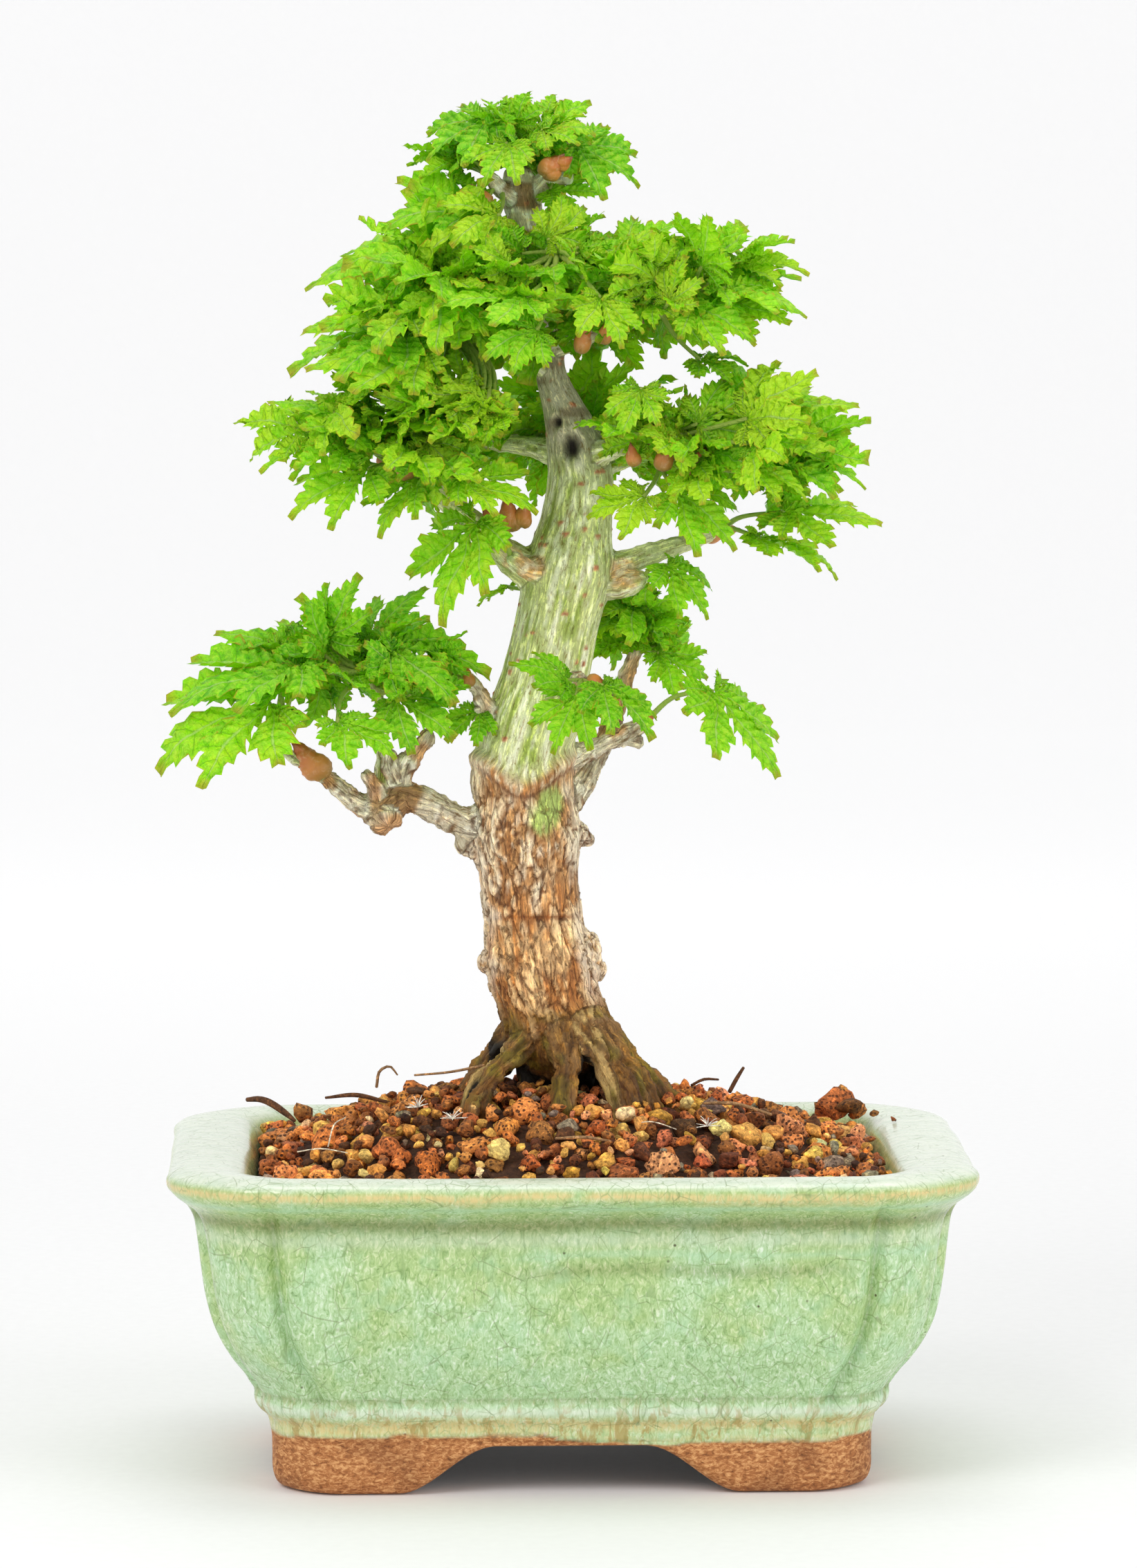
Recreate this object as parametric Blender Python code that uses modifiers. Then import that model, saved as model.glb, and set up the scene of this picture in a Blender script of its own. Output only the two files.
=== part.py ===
"""A small maple bonsai in a glazed stoneware pot, with its drain screens, soil, tree, buds and leaves.

Tables hold millimetres, from the middle of the pot's foot. The scene itself is in metres, +Z up.
"""

import math
import random

import bmesh
import bpy
from mathutils import Vector
from mathutils.bvhtree import BVHTree

MM = 0.001
SHIFT_X = 3.0  # the tree leans out to the left of its pot, so the pot stands a little to the right
GAP = 0.3  # clearance between pieces that touch

POT_HEIGHT = 73.0
FLOOR_UNDER = 11.0
FLOOR_TOP = 19.0
# Height, half width, half depth, corner cut and groove depth of the pot's outside, from the foot up.
POT_OUTSIDE = [
    (0.0, 64.6, 42.2, 12.5, 0.3),
    (1.6, 66.2, 43.8, 13.0, 0.5),
    (12.0, 67.0, 44.6, 13.6, 0.6),
    (15.6, 67.7, 45.4, 14.0, 0.8),
    (17.5, 69.1, 46.6, 14.0, 0.9),
    (20.5, 69.4, 46.9, 14.0, 1.0),
    (21.6, 68.5, 46.0, 14.0, 1.0),
    (22.8, 69.8, 46.9, 14.0, 1.2),
    (33.0, 75.3, 51.0, 14.5, 1.8),
    (39.0, 77.8, 53.2, 15.0, 2.0),
    (46.0, 79.6, 55.0, 15.5, 2.0),
    (56.0, 81.0, 56.4, 16.0, 2.0),
    (62.5, 81.2, 56.6, 16.0, 1.8),
    (65.2, 83.2, 58.6, 17.5, 1.2),
    (66.8, 87.6, 63.0, 21.0, 0.6),
    (69.4, 90.0, 65.4, 23.5, 0.4),
    (71.8, 89.4, 64.8, 23.2, 0.3),
    (73.0, 86.4, 61.8, 21.5, 0.2),
]
POT_INSIDE = [
    (72.6, 74.0, 56.4, 15.0, 0.0),
    (71.0, 71.0, 53.8, 13.5, 0.0),
    (60.0, 70.2, 53.0, 13.0, 0.0),
    (40.0, 68.0, 50.5, 12.0, 0.0),
    (26.0, 62.5, 44.0, 11.0, 0.0),
    (FLOOR_TOP, 57.0, 38.5, 10.0, 0.0),
]
SOLE = (53.0, 31.0, 10.0)  # half width, half depth and corner cut of the hollow under the floor
FRONT_ARCH = (17.5, 34.5)  # half widths at the top and bottom of the way between the front feet
SIDE_ARCH = (9.0, 18.0)
DRAIN_X = 32.0
DRAIN_RADIUS = 9.0

SCREEN_SIZE = 30.0
SCREEN_PITCH = 5.0
STRAND = 0.9
CLIP_WIRE = 0.9

SOIL_EDGE = 70.2
SOIL_PEAK = 86.4
SOIL_RINGS = (1.0, 0.88, 0.74, 0.6, 0.46, 0.32, 0.18)

# Limbs of the tree as runs of (x, y, z, radius). The first is the trunk, then roots, branches and stubs.
LIMBS = [
    [
        (-1.0, 6, 64, 7.5), (-1.0, 6, 84, 8.0), (-1.2, 4.5, 92, 9.8), (-1.7, 1.5, 98, 11.8),
        (-4.2, 0, 103, 11.8), (-6.2, 0, 112, 12.7), (-8.0, 0, 125, 11.0), (-9.2, 0, 137, 12.2),
        (-9.3, 0, 143, 13.4), (-9.4, 0, 150, 11.8), (-10.0, 0, 158, 12.0), (-8.5, 0, 167, 10.8),
        (-5.3, 0, 178, 9.8), (-2.0, 0, 193, 9.6), (0.2, 0, 203, 9.9), (2.0, 0, 214, 8.2),
        (2.8, 0, 223, 7.2), (1.3, 0, 231, 6.2), (-0.8, 0, 238, 4.7), (-3.6, 0, 245, 3.5),
        (-5.0, 0, 255, 3.3), (-7.0, 0, 268, 3.6), (-9.2, 0, 280, 3.8), (-11.2, 0, 291.5, 3.6),
    ],
    [(-4, -2, 106, 6), (-11.5, -7.5, 97, 4.6), (-18, -12.5, 91.6, 2.9),
     (-22, -17, 86, 2.5), (-23.5, -18.5, 70, 2.2)],
    [(-6, -2, 104, 5), (-16, -6.5, 93.6, 2.7), (-24.6, -10, 88, 2.1), (-31, -13, 70, 1.8)],
    [(-3, -5, 106, 6), (-1.2, -14, 96, 3.8), (-0.6, -19, 88, 3.1), (-2.0, -22, 68, 2.8)],
    [(1, -5, 106, 5), (5.6, -13.5, 96, 2.8), (9.7, -18, 88.5, 2.1), (14, -22, 68, 2.0)],
    [(2, -3, 106, 5.5), (10, -9, 96, 3.8), (17.3, -12.5, 88, 2.9), (25, -15, 68, 2.4)],
    [(2, 0, 109, 6), (12.6, -1, 94, 4.6), (24.0, -2, 84, 3.2), (33, -2.5, 68, 2.4)],
    [(0, 5, 106, 6), (5, 16, 93, 4.6), (9, 27, 79, 3.2), (11, 31, 68, 2.4)],
    [(-5, 4, 106, 5.5), (-15, 14, 92, 3.6), (-23, 21, 79, 2.6), (-26, 23, 68, 2.0)],
    [(-6, 2, 104, 4.5), (-17, 4.5, 92, 3.1), (-28, 7, 79, 2.4), (-31, 8, 68, 2.0)],
    [(4, 4, 106, 5.5), (16, 11, 92, 3.7), (27, 16, 78, 2.6), (31, 18, 68, 2.0)],
    [
        (-12, -1, 145, 5.0), (-22, -2, 147, 3.8), (-31, -3, 150, 3.3), (-37, -4, 151.5, 3.2),
        (-42, -4, 148.5, 3.9), (-47, -5, 150.0, 2.5), (-51, -6, 153, 2.2), (-53.5, -6, 155, 1.9),
    ],
    [(-37, -4, 151, 2.4), (-37, -4, 157, 2.0), (-35, -4, 160, 2.3), (-32.6, -4, 162.6, 1.6)],
    [(-42, -4, 149, 1.8), (-41.5, -4, 160, 1.3), (-42.5, -6, 171, 1.2), (-45, -8, 177, 1.2)],
    [(-4, 0, 200, 5), (-12, -1, 205, 3.8), (-18, -2, 210, 3.2), (-25, -3, 216, 2.8),
     (-31, -5, 220, 2.4), (-37, -6, 224, 2.0)],
    [(3, 0, 201, 5), (11, 1, 203.5, 3.2), (20, 3, 206.5, 2.5), (28, 5, 209, 2.1)],
    [(4, 0, 199, 4), (11, -1, 199.5, 2.8), (14, -2, 200.5, 2.2)],
    [(-4, 3, 148, 5), (2, 7, 154, 3.2), (7, 11, 162, 2.6), (11, 14, 170, 2.3), (14, 14, 180, 1.8),
     (16, 12, 186, 1.5)],
    [(-2, 1, 159, 4), (5, 2, 161, 2.2), (11, 3, 163.5, 1.8), (15.5, 3, 166, 2.0)],
    [(-13, -2, 163, 4), (-18, -4, 169, 2.4), (-21, -5, 174, 1.9), (-22.5, -5, 177, 1.5)],
    [(1, -2, 176, 4), (2, -10, 178, 2.0), (2.5, -15, 178, 1.6)],
    [(1, 0, 226, 4), (10, -6, 230, 2.4), (20, -12, 232, 1.8)],
    [(1, 0, 222, 4), (10, 8, 226, 2.4), (20, 14, 229, 1.8)],
    [(1, 0, 228, 4), (-8, 8, 230, 2.4), (-19, 14, 231, 1.8)],
    [(-4, 0, 247, 2.8), (-14, -6, 253, 2.0), (-26, -13, 256, 1.6)],
    [(-5, 0, 252, 2.8), (6, -6, 256, 2.0), (20, -14, 261, 1.6)],
    [(-6, 0, 262, 2.8), (-2, 9, 266, 2.0), (0, 15, 268, 1.6)],
    [(-8, 0, 274, 2.6), (-5, -9, 274, 1.8), (-3, -15, 274, 1.5)],
    [(-10, 0, 284, 2.6), (-15, -4, 288, 1.8), (-18, -5, 291, 1.5)],
    [(-9.5, 0, 285, 2.6), (-5, 0, 291, 2.2), (-1.5, 0, 295, 2.8), (0.5, 0, 297.5, 2.2)],
    [(-10.5, 1, 287, 2.4), (-11, 6, 293, 1.8), (-11, 9, 298, 1.5)],
]
UNDERGROUND = 11  # the limbs that the soil is packed round
LIMB_SIDES = 8

# Bud scales: name, base, tip and greatest radius.
BUDS = [
    ("bud_lower_left", (-55.6, -6.3, 157), (-63, -8, 166), 3.0),
    ("bud_left_branch", (-39.4, -6.4, 225.4), (-42.5, -7.5, 231.5), 2.4),
    ("bud_right_branch", (30.4, 5.6, 210.2), (39.5, 7.5, 211.5), 2.3),
    ("bud_trunk_front", (4.3, -15.4, 178.6), (8.2, -20.5, 176.6), 2.0),
]

# Loose lumps of lava grit against the rim: name, middle and half sizes.
LUMPS = [
    ("grit_lump_right", (63.5, 38.0, 75.2), (5.6, 4.6, 4.8)),
    ("grit_lump_left", (-60.0, 41.0, 73.2), (3.6, 3.0, 2.8)),
]

# Leaves: name, where stalk and blade meet, tip of the middle lobe, and the way the upper side faces.
LEAVES = [
    ("leaf_top_a", (-18, -7, 304), (-34, -12, 297), "up"),
    ("leaf_top_b", (-16, -2, 303), (-19, 10, 310), "front"),
    ("leaf_top_c", (-6, -12, 301), (6, -16, 303), "front"),
    ("leaf_top_d", (4, -4, 300), (18, -8, 291), "up"),
    ("leaf_top_e", (-20, -8, 285), (-42, -14, 284), "front"),
    ("leaf_top_i", (-8, 12, 306), (-2, 26, 309), "up"),
    ("leaf_mid_a", (-18, -10, 267), (-48, -16, 276), "front"),
    ("leaf_mid_b", (-34, -2, 278), (-59, -4, 272), "up"),
    ("leaf_mid_c", (-36, -20, 256), (-65, -24, 254), "up"),
    ("leaf_mid_e", (-33, -26, 248), (-58, -30, 246), "up"),
    ("leaf_mid_g", (-5, -18, 277), (6, -14, 286), "front"),
    ("leaf_mid_h", (12, -14, 272), (24, -8, 286), "front"),
    ("leaf_mid_j", (34, -8, 273), (54, -12, 274), "up"),
    ("leaf_mid_k", (34, -24, 264), (52, -28, 261), "up"),
    ("leaf_mid_m", (18, -32, 262), (24, -36, 274), "front"),
    ("leaf_mid_o", (-10, -32, 262), (-29, -38, 263), "front"),
    ("leaf_mid_q", (15, -30, 247), (11, -38, 237), "front"),
    ("leaf_mid_s", (-20, 16, 268), (-36, 40, 270), "up"),
    ("leaf_mid_t", (5, 20, 271), (24, 42, 272), "up"),
    ("leaf_low_a", (-45, -18, 235), (-66, -22, 242), "front"),
    ("leaf_low_b", (-50, -2, 232), (-71, -4, 228), "up"),
    ("leaf_low_c", (-45, -22, 224), (-64, -26, 215), "front"),
    ("leaf_low_d", (-34, -20, 220), (-45, -26, 210), "up"),
    ("leaf_low_f", (-24, -28, 226), (-7, -32, 223), "front"),
    ("leaf_low_h", (-22, -14, 212), (-33, -20, 194), "up"),
    ("leaf_low_i", (16, -26, 220), (3, -30, 216), "front"),
    ("leaf_low_l", (28, -22, 236), (42, -22, 244), "front"),
    ("leaf_low_m", (44, -4, 239), (64, -4, 243), "up"),
    ("leaf_low_n", (46, -16, 229), (68, -20, 227), "up"),
    ("leaf_low_o", (36, -26, 222), (50, -32, 216), "front"),
    ("leaf_low_p", (48, -4, 217), (69, -6, 215), "up"),
    ("leaf_low_r", (22, -10, 201), (34, -14, 191), "up"),
    ("leaf_low_t", (-28, 14, 231), (-40, 40, 232), "up"),
    ("leaf_low_u", (29, 16, 231), (46, 42, 228), "up"),
    ("leaf_low_v", (0, 22, 237), (1, 50, 238), "up"),
    ("leaf_left_a", (-57, -2, 186), (-78, 2, 192), "up"),
    ("leaf_left_b", (-61, -14, 179), (-90, -18, 177), "up"),
    ("leaf_left_c", (-67, -22, 171), (-96, -28, 164), "up"),
    ("leaf_left_d", (-44, 0, 188), (-33, 4, 200), "front"),
    ("leaf_left_e", (-39, -8, 183), (-16, -10, 183), "up"),
    ("leaf_left_f", (-39, -16, 173), (-25, -22, 165), "front"),
    ("leaf_left_i", (-52, 10, 178), (-66, 30, 179), "up"),
    ("leaf_front_a", (-1, -22, 181), (-13, -27, 185), "front"),
    ("leaf_front_b", (8, -24, 179), (20, -31, 170), "front"),
    ("leaf_right_a", (21, 12, 186), (33, 12, 181), "front"),
    ("leaf_right_d", (33, 6, 177), (48, 0, 158), "up"),
]
BLADE_THICKNESS = 0.8
STALK_WIDTH = 1.3
LOBE_ANGLES = (-118, -62, 0, 62, 118)
LOBE_LENGTHS = (0.5, 0.84, 1.0, 0.84, 0.5)
LOBE_WIDTH = 0.2
SINUS = 0.34

COLOURS = {
    "pot_glaze": ((0.36, 0.50, 0.36), 0.0, 0.22),
    "mesh_plastic": ((0.03, 0.03, 0.03), 0.0, 0.55),
    "clip_metal": ((0.60, 0.60, 0.58), 1.0, 0.4),
    "soil_grit": ((0.30, 0.16, 0.10), 0.0, 0.9),
    "bark": ((0.42, 0.36, 0.22), 0.0, 0.85),
    "bud_scale": ((0.36, 0.11, 0.04), 0.0, 0.45),
    "leaf_green": ((0.16, 0.42, 0.04), 0.0, 0.5),
}


def material(name):
    found = bpy.data.materials.get(name)
    if found:
        return found
    colour, metallic, roughness = COLOURS[name]
    made = bpy.data.materials.new(name)
    made.use_nodes = True
    shader = made.node_tree.nodes["Principled BSDF"]
    shader.inputs["Base Color"].default_value = (*colour, 1.0)
    shader.inputs["Metallic"].default_value = metallic
    shader.inputs["Roughness"].default_value = roughness
    return made


def add_object(name, mesh, collection, surface=None):
    made = bpy.data.objects.new(name, mesh)
    collection.objects.link(made)
    if surface:
        mesh.materials.append(material(surface))
    return made


def add_cutter(name, mesh):
    made = add_object(name, mesh, cutters)
    made.hide_render = True
    made.display_type = "WIRE"
    return made


def mesh_from(name, build):
    bm = bmesh.new()
    build(bm)
    bmesh.ops.recalc_face_normals(bm, faces=bm.faces)
    mesh = bpy.data.meshes.new(name)
    bm.to_mesh(mesh)
    bm.free()
    return mesh


def boolean(target, other, operation="DIFFERENCE"):
    step = target.modifiers.new(other.name, "BOOLEAN")
    step.operation = operation
    step.solver = "EXACT"
    step.object = other
    return step


def millimetres(x, y, z):
    return Vector(((x + SHIFT_X) * MM, y * MM, z * MM))


def plan(half_x, half_y, cut, groove):
    """The pot's outline at one height: a rectangle with cut corners, each set off by two grooves."""
    ridge = 0.9
    quarter = [
        (half_x, half_y - cut - ridge),
        (half_x - groove, half_y - cut),
        (half_x - 0.10 * cut, half_y - 0.78 * cut),
        (half_x - 0.36 * cut, half_y - 0.36 * cut),
        (half_x - 0.78 * cut, half_y - 0.10 * cut),
        (half_x - cut, half_y - groove),
        (half_x - cut - ridge, half_y),
    ]
    mirrored = [(-x, y) for x, y in reversed(quarter)]
    top = quarter + mirrored
    return top + [(-x, -y) for x, y in top]


def loft(bm, rings, closed=True):
    """Skins equal rings of points one after the other, with the two ends capped."""
    loops = [[bm.verts.new(point) for point in ring] for ring in rings]
    count = len(loops[0])
    for low, high in zip(loops, loops[1:]):
        for i in range(count):
            bm.faces.new((low[i], low[(i + 1) % count], high[(i + 1) % count], high[i]))
    if closed:
        bm.faces.new(list(reversed(loops[0])))
        bm.faces.new(loops[-1])
    return loops


def section(height, half_x, half_y, cut, groove):
    return [millimetres(x, y, height) for x, y in plan(half_x, half_y, cut, groove)]


def prism(name, profile, axis, reach):
    """A wedge-shaped block: a four-cornered profile (across, height) run along one level axis."""

    def build(bm):
        ends = []
        for side in (-reach, reach):
            if axis == "Y":
                ends.append([millimetres(a, side, z) for a, z in profile])
            else:
                ends.append([millimetres(side, a, z) for a, z in profile])
        loft(bm, ends)

    return add_cutter(name, mesh_from(name, build))


def cylinder(name, radius, low, high, x, y, sides=24):
    bm = bmesh.new()
    bmesh.ops.create_cone(
        bm, cap_ends=True, segments=sides, radius1=radius * MM, radius2=radius * MM, depth=(high - low) * MM
    )
    bmesh.ops.translate(bm, verts=bm.verts, vec=millimetres(x, y, (low + high) / 2))
    mesh = bpy.data.meshes.new(name)
    bm.to_mesh(mesh)
    bm.free()
    return add_cutter(name, mesh)


def make_pot():
    rings = [section(*row) for row in POT_OUTSIDE + POT_INSIDE]
    pot = add_object("pot", mesh_from("pot", lambda bm: loft(bm, rings)), parts, "pot_glaze")
    sole_x, sole_y, sole_cut = SOLE
    hollow = [section(z, sole_x, sole_y, sole_cut, 0.0) for z in (-4.0, FLOOR_UNDER)]
    boolean(pot, add_cutter("cut_sole", mesh_from("cut_sole", lambda bm: loft(bm, hollow))))
    for name, (top, foot), axis, reach in (
        ("cut_front_arch", FRONT_ARCH, "Y", 60.0),
        ("cut_side_arch", SIDE_ARCH, "X", 80.0),
    ):
        lift = FLOOR_UNDER - 0.4
        below = foot + (foot - top) * 4.0 / lift
        profile = [(-below, -4.0), (below, -4.0), (top, lift), (-top, lift)]
        boolean(pot, prism(name, profile, axis, reach))
    for name, x in (("cut_drain_left", -DRAIN_X), ("cut_drain_right", DRAIN_X)):
        boolean(pot, cylinder(name, DRAIN_RADIUS, 4.0, 26.0, x, 0.0))
    return pot


def box_mesh(low, high):
    bm = bmesh.new()
    bmesh.ops.create_cube(bm, size=1.0)
    a, b = millimetres(*low), millimetres(*high)
    for v in bm.verts:
        v.co = Vector([a[i] + (v.co[i] + 0.5) * (b[i] - a[i]) for i in range(3)])
    mesh = bpy.data.meshes.new("box")
    bm.to_mesh(mesh)
    bm.free()
    return mesh


def make_screen(name, x):
    """A square of woven plastic mesh lying over one drain hole."""
    half = SCREEN_SIZE / 2
    low = FLOOR_TOP + GAP
    sheet = box_mesh((x - half, -half, low), (x + half, half, low + STRAND))
    screen = add_object(name, sheet, parts, "mesh_plastic")
    holes = int(SCREEN_SIZE // SCREEN_PITCH) - 1
    start = -(holes - 1) / 2 * SCREEN_PITCH
    side = (SCREEN_PITCH - STRAND) / 2

    def build(bm):
        for i in range(holes):
            for j in range(holes):
                across = x + start + i * SCREEN_PITCH
                along = start + j * SCREEN_PITCH
                corners = [(-side, -side), (side, -side), (side, side), (-side, side)]
                ends = [
                    [millimetres(across + a, along + b, low + z) for a, b in corners]
                    for z in (-2.0, STRAND + 2.0)
                ]
                loft(bm, ends)

    boolean(screen, add_cutter("cut_" + name, mesh_from("cut_" + name, build)))
    return screen


def tube(name, points, sides, ends=True):
    """A limb, root or wire as a bevelled curve of varying radius, turned into a mesh."""
    curve = bpy.data.curves.new(name, "CURVE")
    curve.dimensions = "3D"
    curve.bevel_depth = MM
    curve.bevel_resolution = max(0, sides // 2 - 2)
    curve.use_fill_caps = ends
    run = curve.splines.new("POLY")
    run.points.add(len(points) - 1)
    for point, (x, y, z, radius) in zip(run.points, points):
        point.co = (*millimetres(x, y, z), 1.0)
        point.radius = radius
    carrier = bpy.data.objects.new(name, curve)
    parts.objects.link(carrier)
    bpy.context.view_layer.update()
    mesh = bpy.data.meshes.new_from_object(carrier.evaluated_get(bpy.context.evaluated_depsgraph_get()))
    bpy.data.objects.remove(carrier)
    bpy.data.curves.remove(curve)
    bm = bmesh.new()
    bm.from_mesh(mesh)
    bmesh.ops.remove_doubles(bm, verts=bm.verts, dist=1e-7)
    bmesh.ops.recalc_face_normals(bm, faces=bm.faces)
    bm.to_mesh(mesh)
    bm.free()
    return mesh


def make_clip(name, x):
    """A bent wire staple: over the screen, down through the drain hole and out flat under the floor."""
    above = FLOOR_TOP + GAP + STRAND + GAP + CLIP_WIRE
    wire = CLIP_WIRE
    down = SCREEN_PITCH
    out = DRAIN_RADIUS + 4.0
    run = [
        (x - out, 0.0, FLOOR_UNDER - GAP - wire, wire),
        (x - down, 0.0, FLOOR_UNDER - GAP - wire, wire),
        (x - down, 0.0, above, wire),
        (x + down, 0.0, above, wire),
        (x + down, 0.0, FLOOR_UNDER - GAP - wire, wire),
        (x + out, 0.0, FLOOR_UNDER - GAP - wire, wire),
    ]
    return add_object(name, tube(name, run, 6), parts, "clip_metal")


def limb_union(name, limbs, extra, collection, surface=None):
    """Joins a set of limbs into one body, each a little thicker by extra."""
    base = None
    for number, run in enumerate(limbs):
        thick = [(x, y, z, r + extra) for x, y, z, r in run]
        mesh = tube(f"{name}_{number}", thick, LIMB_SIDES + 4 if number == 0 else LIMB_SIDES)
        if base is None:
            base = add_object(name, mesh, collection, surface)
        else:
            boolean(base, add_cutter(f"join_{name}_{number}", mesh), "UNION")
    return base


def settled(obj):
    """The object's shape once its modifiers have run."""
    bpy.context.view_layer.update()
    depsgraph = bpy.context.evaluated_depsgraph_get()
    return bpy.data.meshes.new_from_object(obj.evaluated_get(depsgraph))


def mound(x, y):
    """Height of the soil: level with the rim's foot at the wall and heaped up to the roots."""
    away = min(1.0, math.hypot(x / 71.0, y / 54.0))
    ripple = 0.6 * math.sin(0.31 * x + 0.9) * math.sin(0.27 * y + 0.4)
    return SOIL_EDGE + (SOIL_PEAK - SOIL_EDGE) * (1.0 - away**2) + ripple * (1.0 - away)


def make_soil():
    below = FLOOR_TOP + GAP + STRAND + GAP + 2 * CLIP_WIRE + GAP
    walls = POT_INSIDE[1:-1]
    rings = []
    low_x, low_y, low_cut = POT_INSIDE[-1][1:4]
    rings.append(section(below, low_x + 1.0 - GAP, low_y + 1.0 - GAP, low_cut, 0.0))
    for height, half_x, half_y, cut, groove in reversed(walls[1:]):
        rings.append(section(height, half_x - 2 * GAP, half_y - 2 * GAP, cut, groove))
    edge = plan(walls[0][1] - 2 * GAP, walls[0][2] - 2 * GAP, walls[0][3], 0.0)
    for share in SOIL_RINGS:
        rings.append([millimetres(x * share, y * share, mound(x * share, y * share)) for x, y in edge])
    soil = add_object("soil", mesh_from("soil", lambda bm: loft(bm, rings)), parts, "soil_grit")
    roots = limb_union("cut_roots", LIMBS[:UNDERGROUND], GAP + 0.15, cutters)
    roots.hide_render = True
    roots.display_type = "WIRE"
    boolean(soil, roots)
    return soil


def make_bud(name, base, tip, radius):
    """A pointed bud inside its two scales."""
    a, b = Vector(base), Vector(tip)
    shares = ((0.0, 0.5), (0.25, 0.92), (0.5, 1.0), (0.78, 0.6), (1.0, 0.12))
    run = [(*a.lerp(b, t), radius * s) for t, s in shares]
    return add_object(name, tube(name, run, 8), parts, "bud_scale")


def make_lump(name, middle, half):
    """A broken lump of lava with worn facets."""
    rng = random.Random(name)
    bm = bmesh.new()
    bmesh.ops.create_icosphere(bm, subdivisions=2, radius=1.0)
    for v in bm.verts:
        worn = 0.86 + 0.14 * rng.random()
        v.co = millimetres(*(middle[i] + half[i] * v.co[i] * worn for i in range(3)))
    mesh = bpy.data.meshes.new(name)
    bm.to_mesh(mesh)
    bm.free()
    return add_object(name, mesh, parts, "soil_grit")


def leaf_frame(joint, tip, facing):
    along = (tip - joint).normalized()
    toward = Vector((0.0, -0.25, 1.0)) if facing == "up" else Vector((0.0, -0.9, 0.45))
    normal = (toward - along * toward.dot(along)).normalized()
    return along, along.cross(normal), normal


def leaf_shape(joint, tip, facing, foot):
    """One lobed leaf as an open surface: five folded lobes, and a flat stalk back to its twig."""
    along, across, normal = leaf_frame(joint, tip, facing)
    size = (tip - joint).length

    def place(angle, reach, side=0.0, lift=0.0):
        turn = math.radians(angle)
        u = reach * math.cos(turn) - side * math.sin(turn)
        v = reach * math.sin(turn) + side * math.cos(turn)
        sag = 0.16 * (u * u + v * v) - 0.10 * (1.0 if facing == "up" else 0.4) * abs(v)
        drop = lift - sag + 0.16
        return joint + (along * u + across * v + normal * (drop if reach > 0.2 else lift)) * size

    points = [joint]
    faces = []

    def add(point):
        points.append(point)
        return len(points) - 1

    cuts = [-152]
    for a, b in zip(LOBE_ANGLES, LOBE_ANGLES[1:]):
        cuts.append((a + b) / 2)
    cuts.append(152)
    reaches = [0.07] + [SINUS] * (len(cuts) - 2) + [0.07]
    sinus = [add(place(angle, reach, lift=-0.02)) for angle, reach in zip(cuts, reaches)]
    for i, (angle, length) in enumerate(zip(LOBE_ANGLES, LOBE_LENGTHS)):
        middle = add(place(angle, 0.58 * length, lift=-0.03))
        right = add(place(angle, 0.6 * length, -LOBE_WIDTH * length))
        left = add(place(angle, 0.6 * length, LOBE_WIDTH * length))
        point = add(place(angle, length, lift=-0.06))
        a, b = sinus[i], sinus[i + 1]
        faces += [(0, a, right, middle), (0, middle, left, b), (right, point, middle), (middle, point, left)]
    faces.append((0, sinus[-1], sinus[0]))
    previous = (sinus[0], sinus[-1])
    start = (points[previous[0]] + points[previous[1]]) / 2
    heading = (foot - start).normalized()
    side = across * (STALK_WIDTH / 2)
    if abs(heading.dot(across)) > 0.9:
        side = normal * (STALK_WIDTH / 2)
    sag = -along * 0.18 * (foot - start).length
    for share in (0.35, 0.7, 1.0):
        centre = start.lerp(foot, share) + sag * (4 * share * (1 - share)) * 0.4
        pair = (add(centre - side), add(centre + side))
        faces.append((previous[0], previous[1], pair[1], pair[0]))
        previous = pair
    return points, faces


def thickened(points, faces, thickness):
    """The blade's outer walls at a given thickness, for trying it against its neighbours."""
    normals = [Vector() for _ in points]
    for face in faces:
        a, b, c = (points[i] for i in face[:3])
        n = (b - a).cross(c - a)
        for i in face:
            normals[i] += n
    shells = []
    for sign in (1, -1):
        shells += [p + n.normalized() * (sign * thickness / 2) for p, n in zip(points, normals)]
    count = len(points)
    walls = list(faces) + [tuple(i + count for i in face) for face in faces]
    edges = {}
    for face in faces:
        for a, b in zip(face, face[1:] + face[:1]):
            key = (min(a, b), max(a, b))
            edges[key] = edges.get(key, 0) + 1
    walls += [(a, b, b + count, a + count) for (a, b), uses in edges.items() if uses == 1]
    return shells, walls


def nearest_twig(joint):
    """The closest point out of the soil on any limb, and how thick the limb is there."""
    best = None
    for run in LIMBS[:1] + LIMBS[UNDERGROUND:]:
        for low, high in zip(run, run[1:]):
            a, b = Vector(low[:3]), Vector(high[:3])
            share = max(0.0, min(1.0, (joint - a).dot(b - a) / (b - a).length_squared))
            spot = a.lerp(b, share)
            radius = low[3] + (high[3] - low[3]) * share
            reach = (joint - spot).length - radius
            if best is None or reach < best[0]:
                best = (reach, spot, radius)
    return best[1], best[2]


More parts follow.
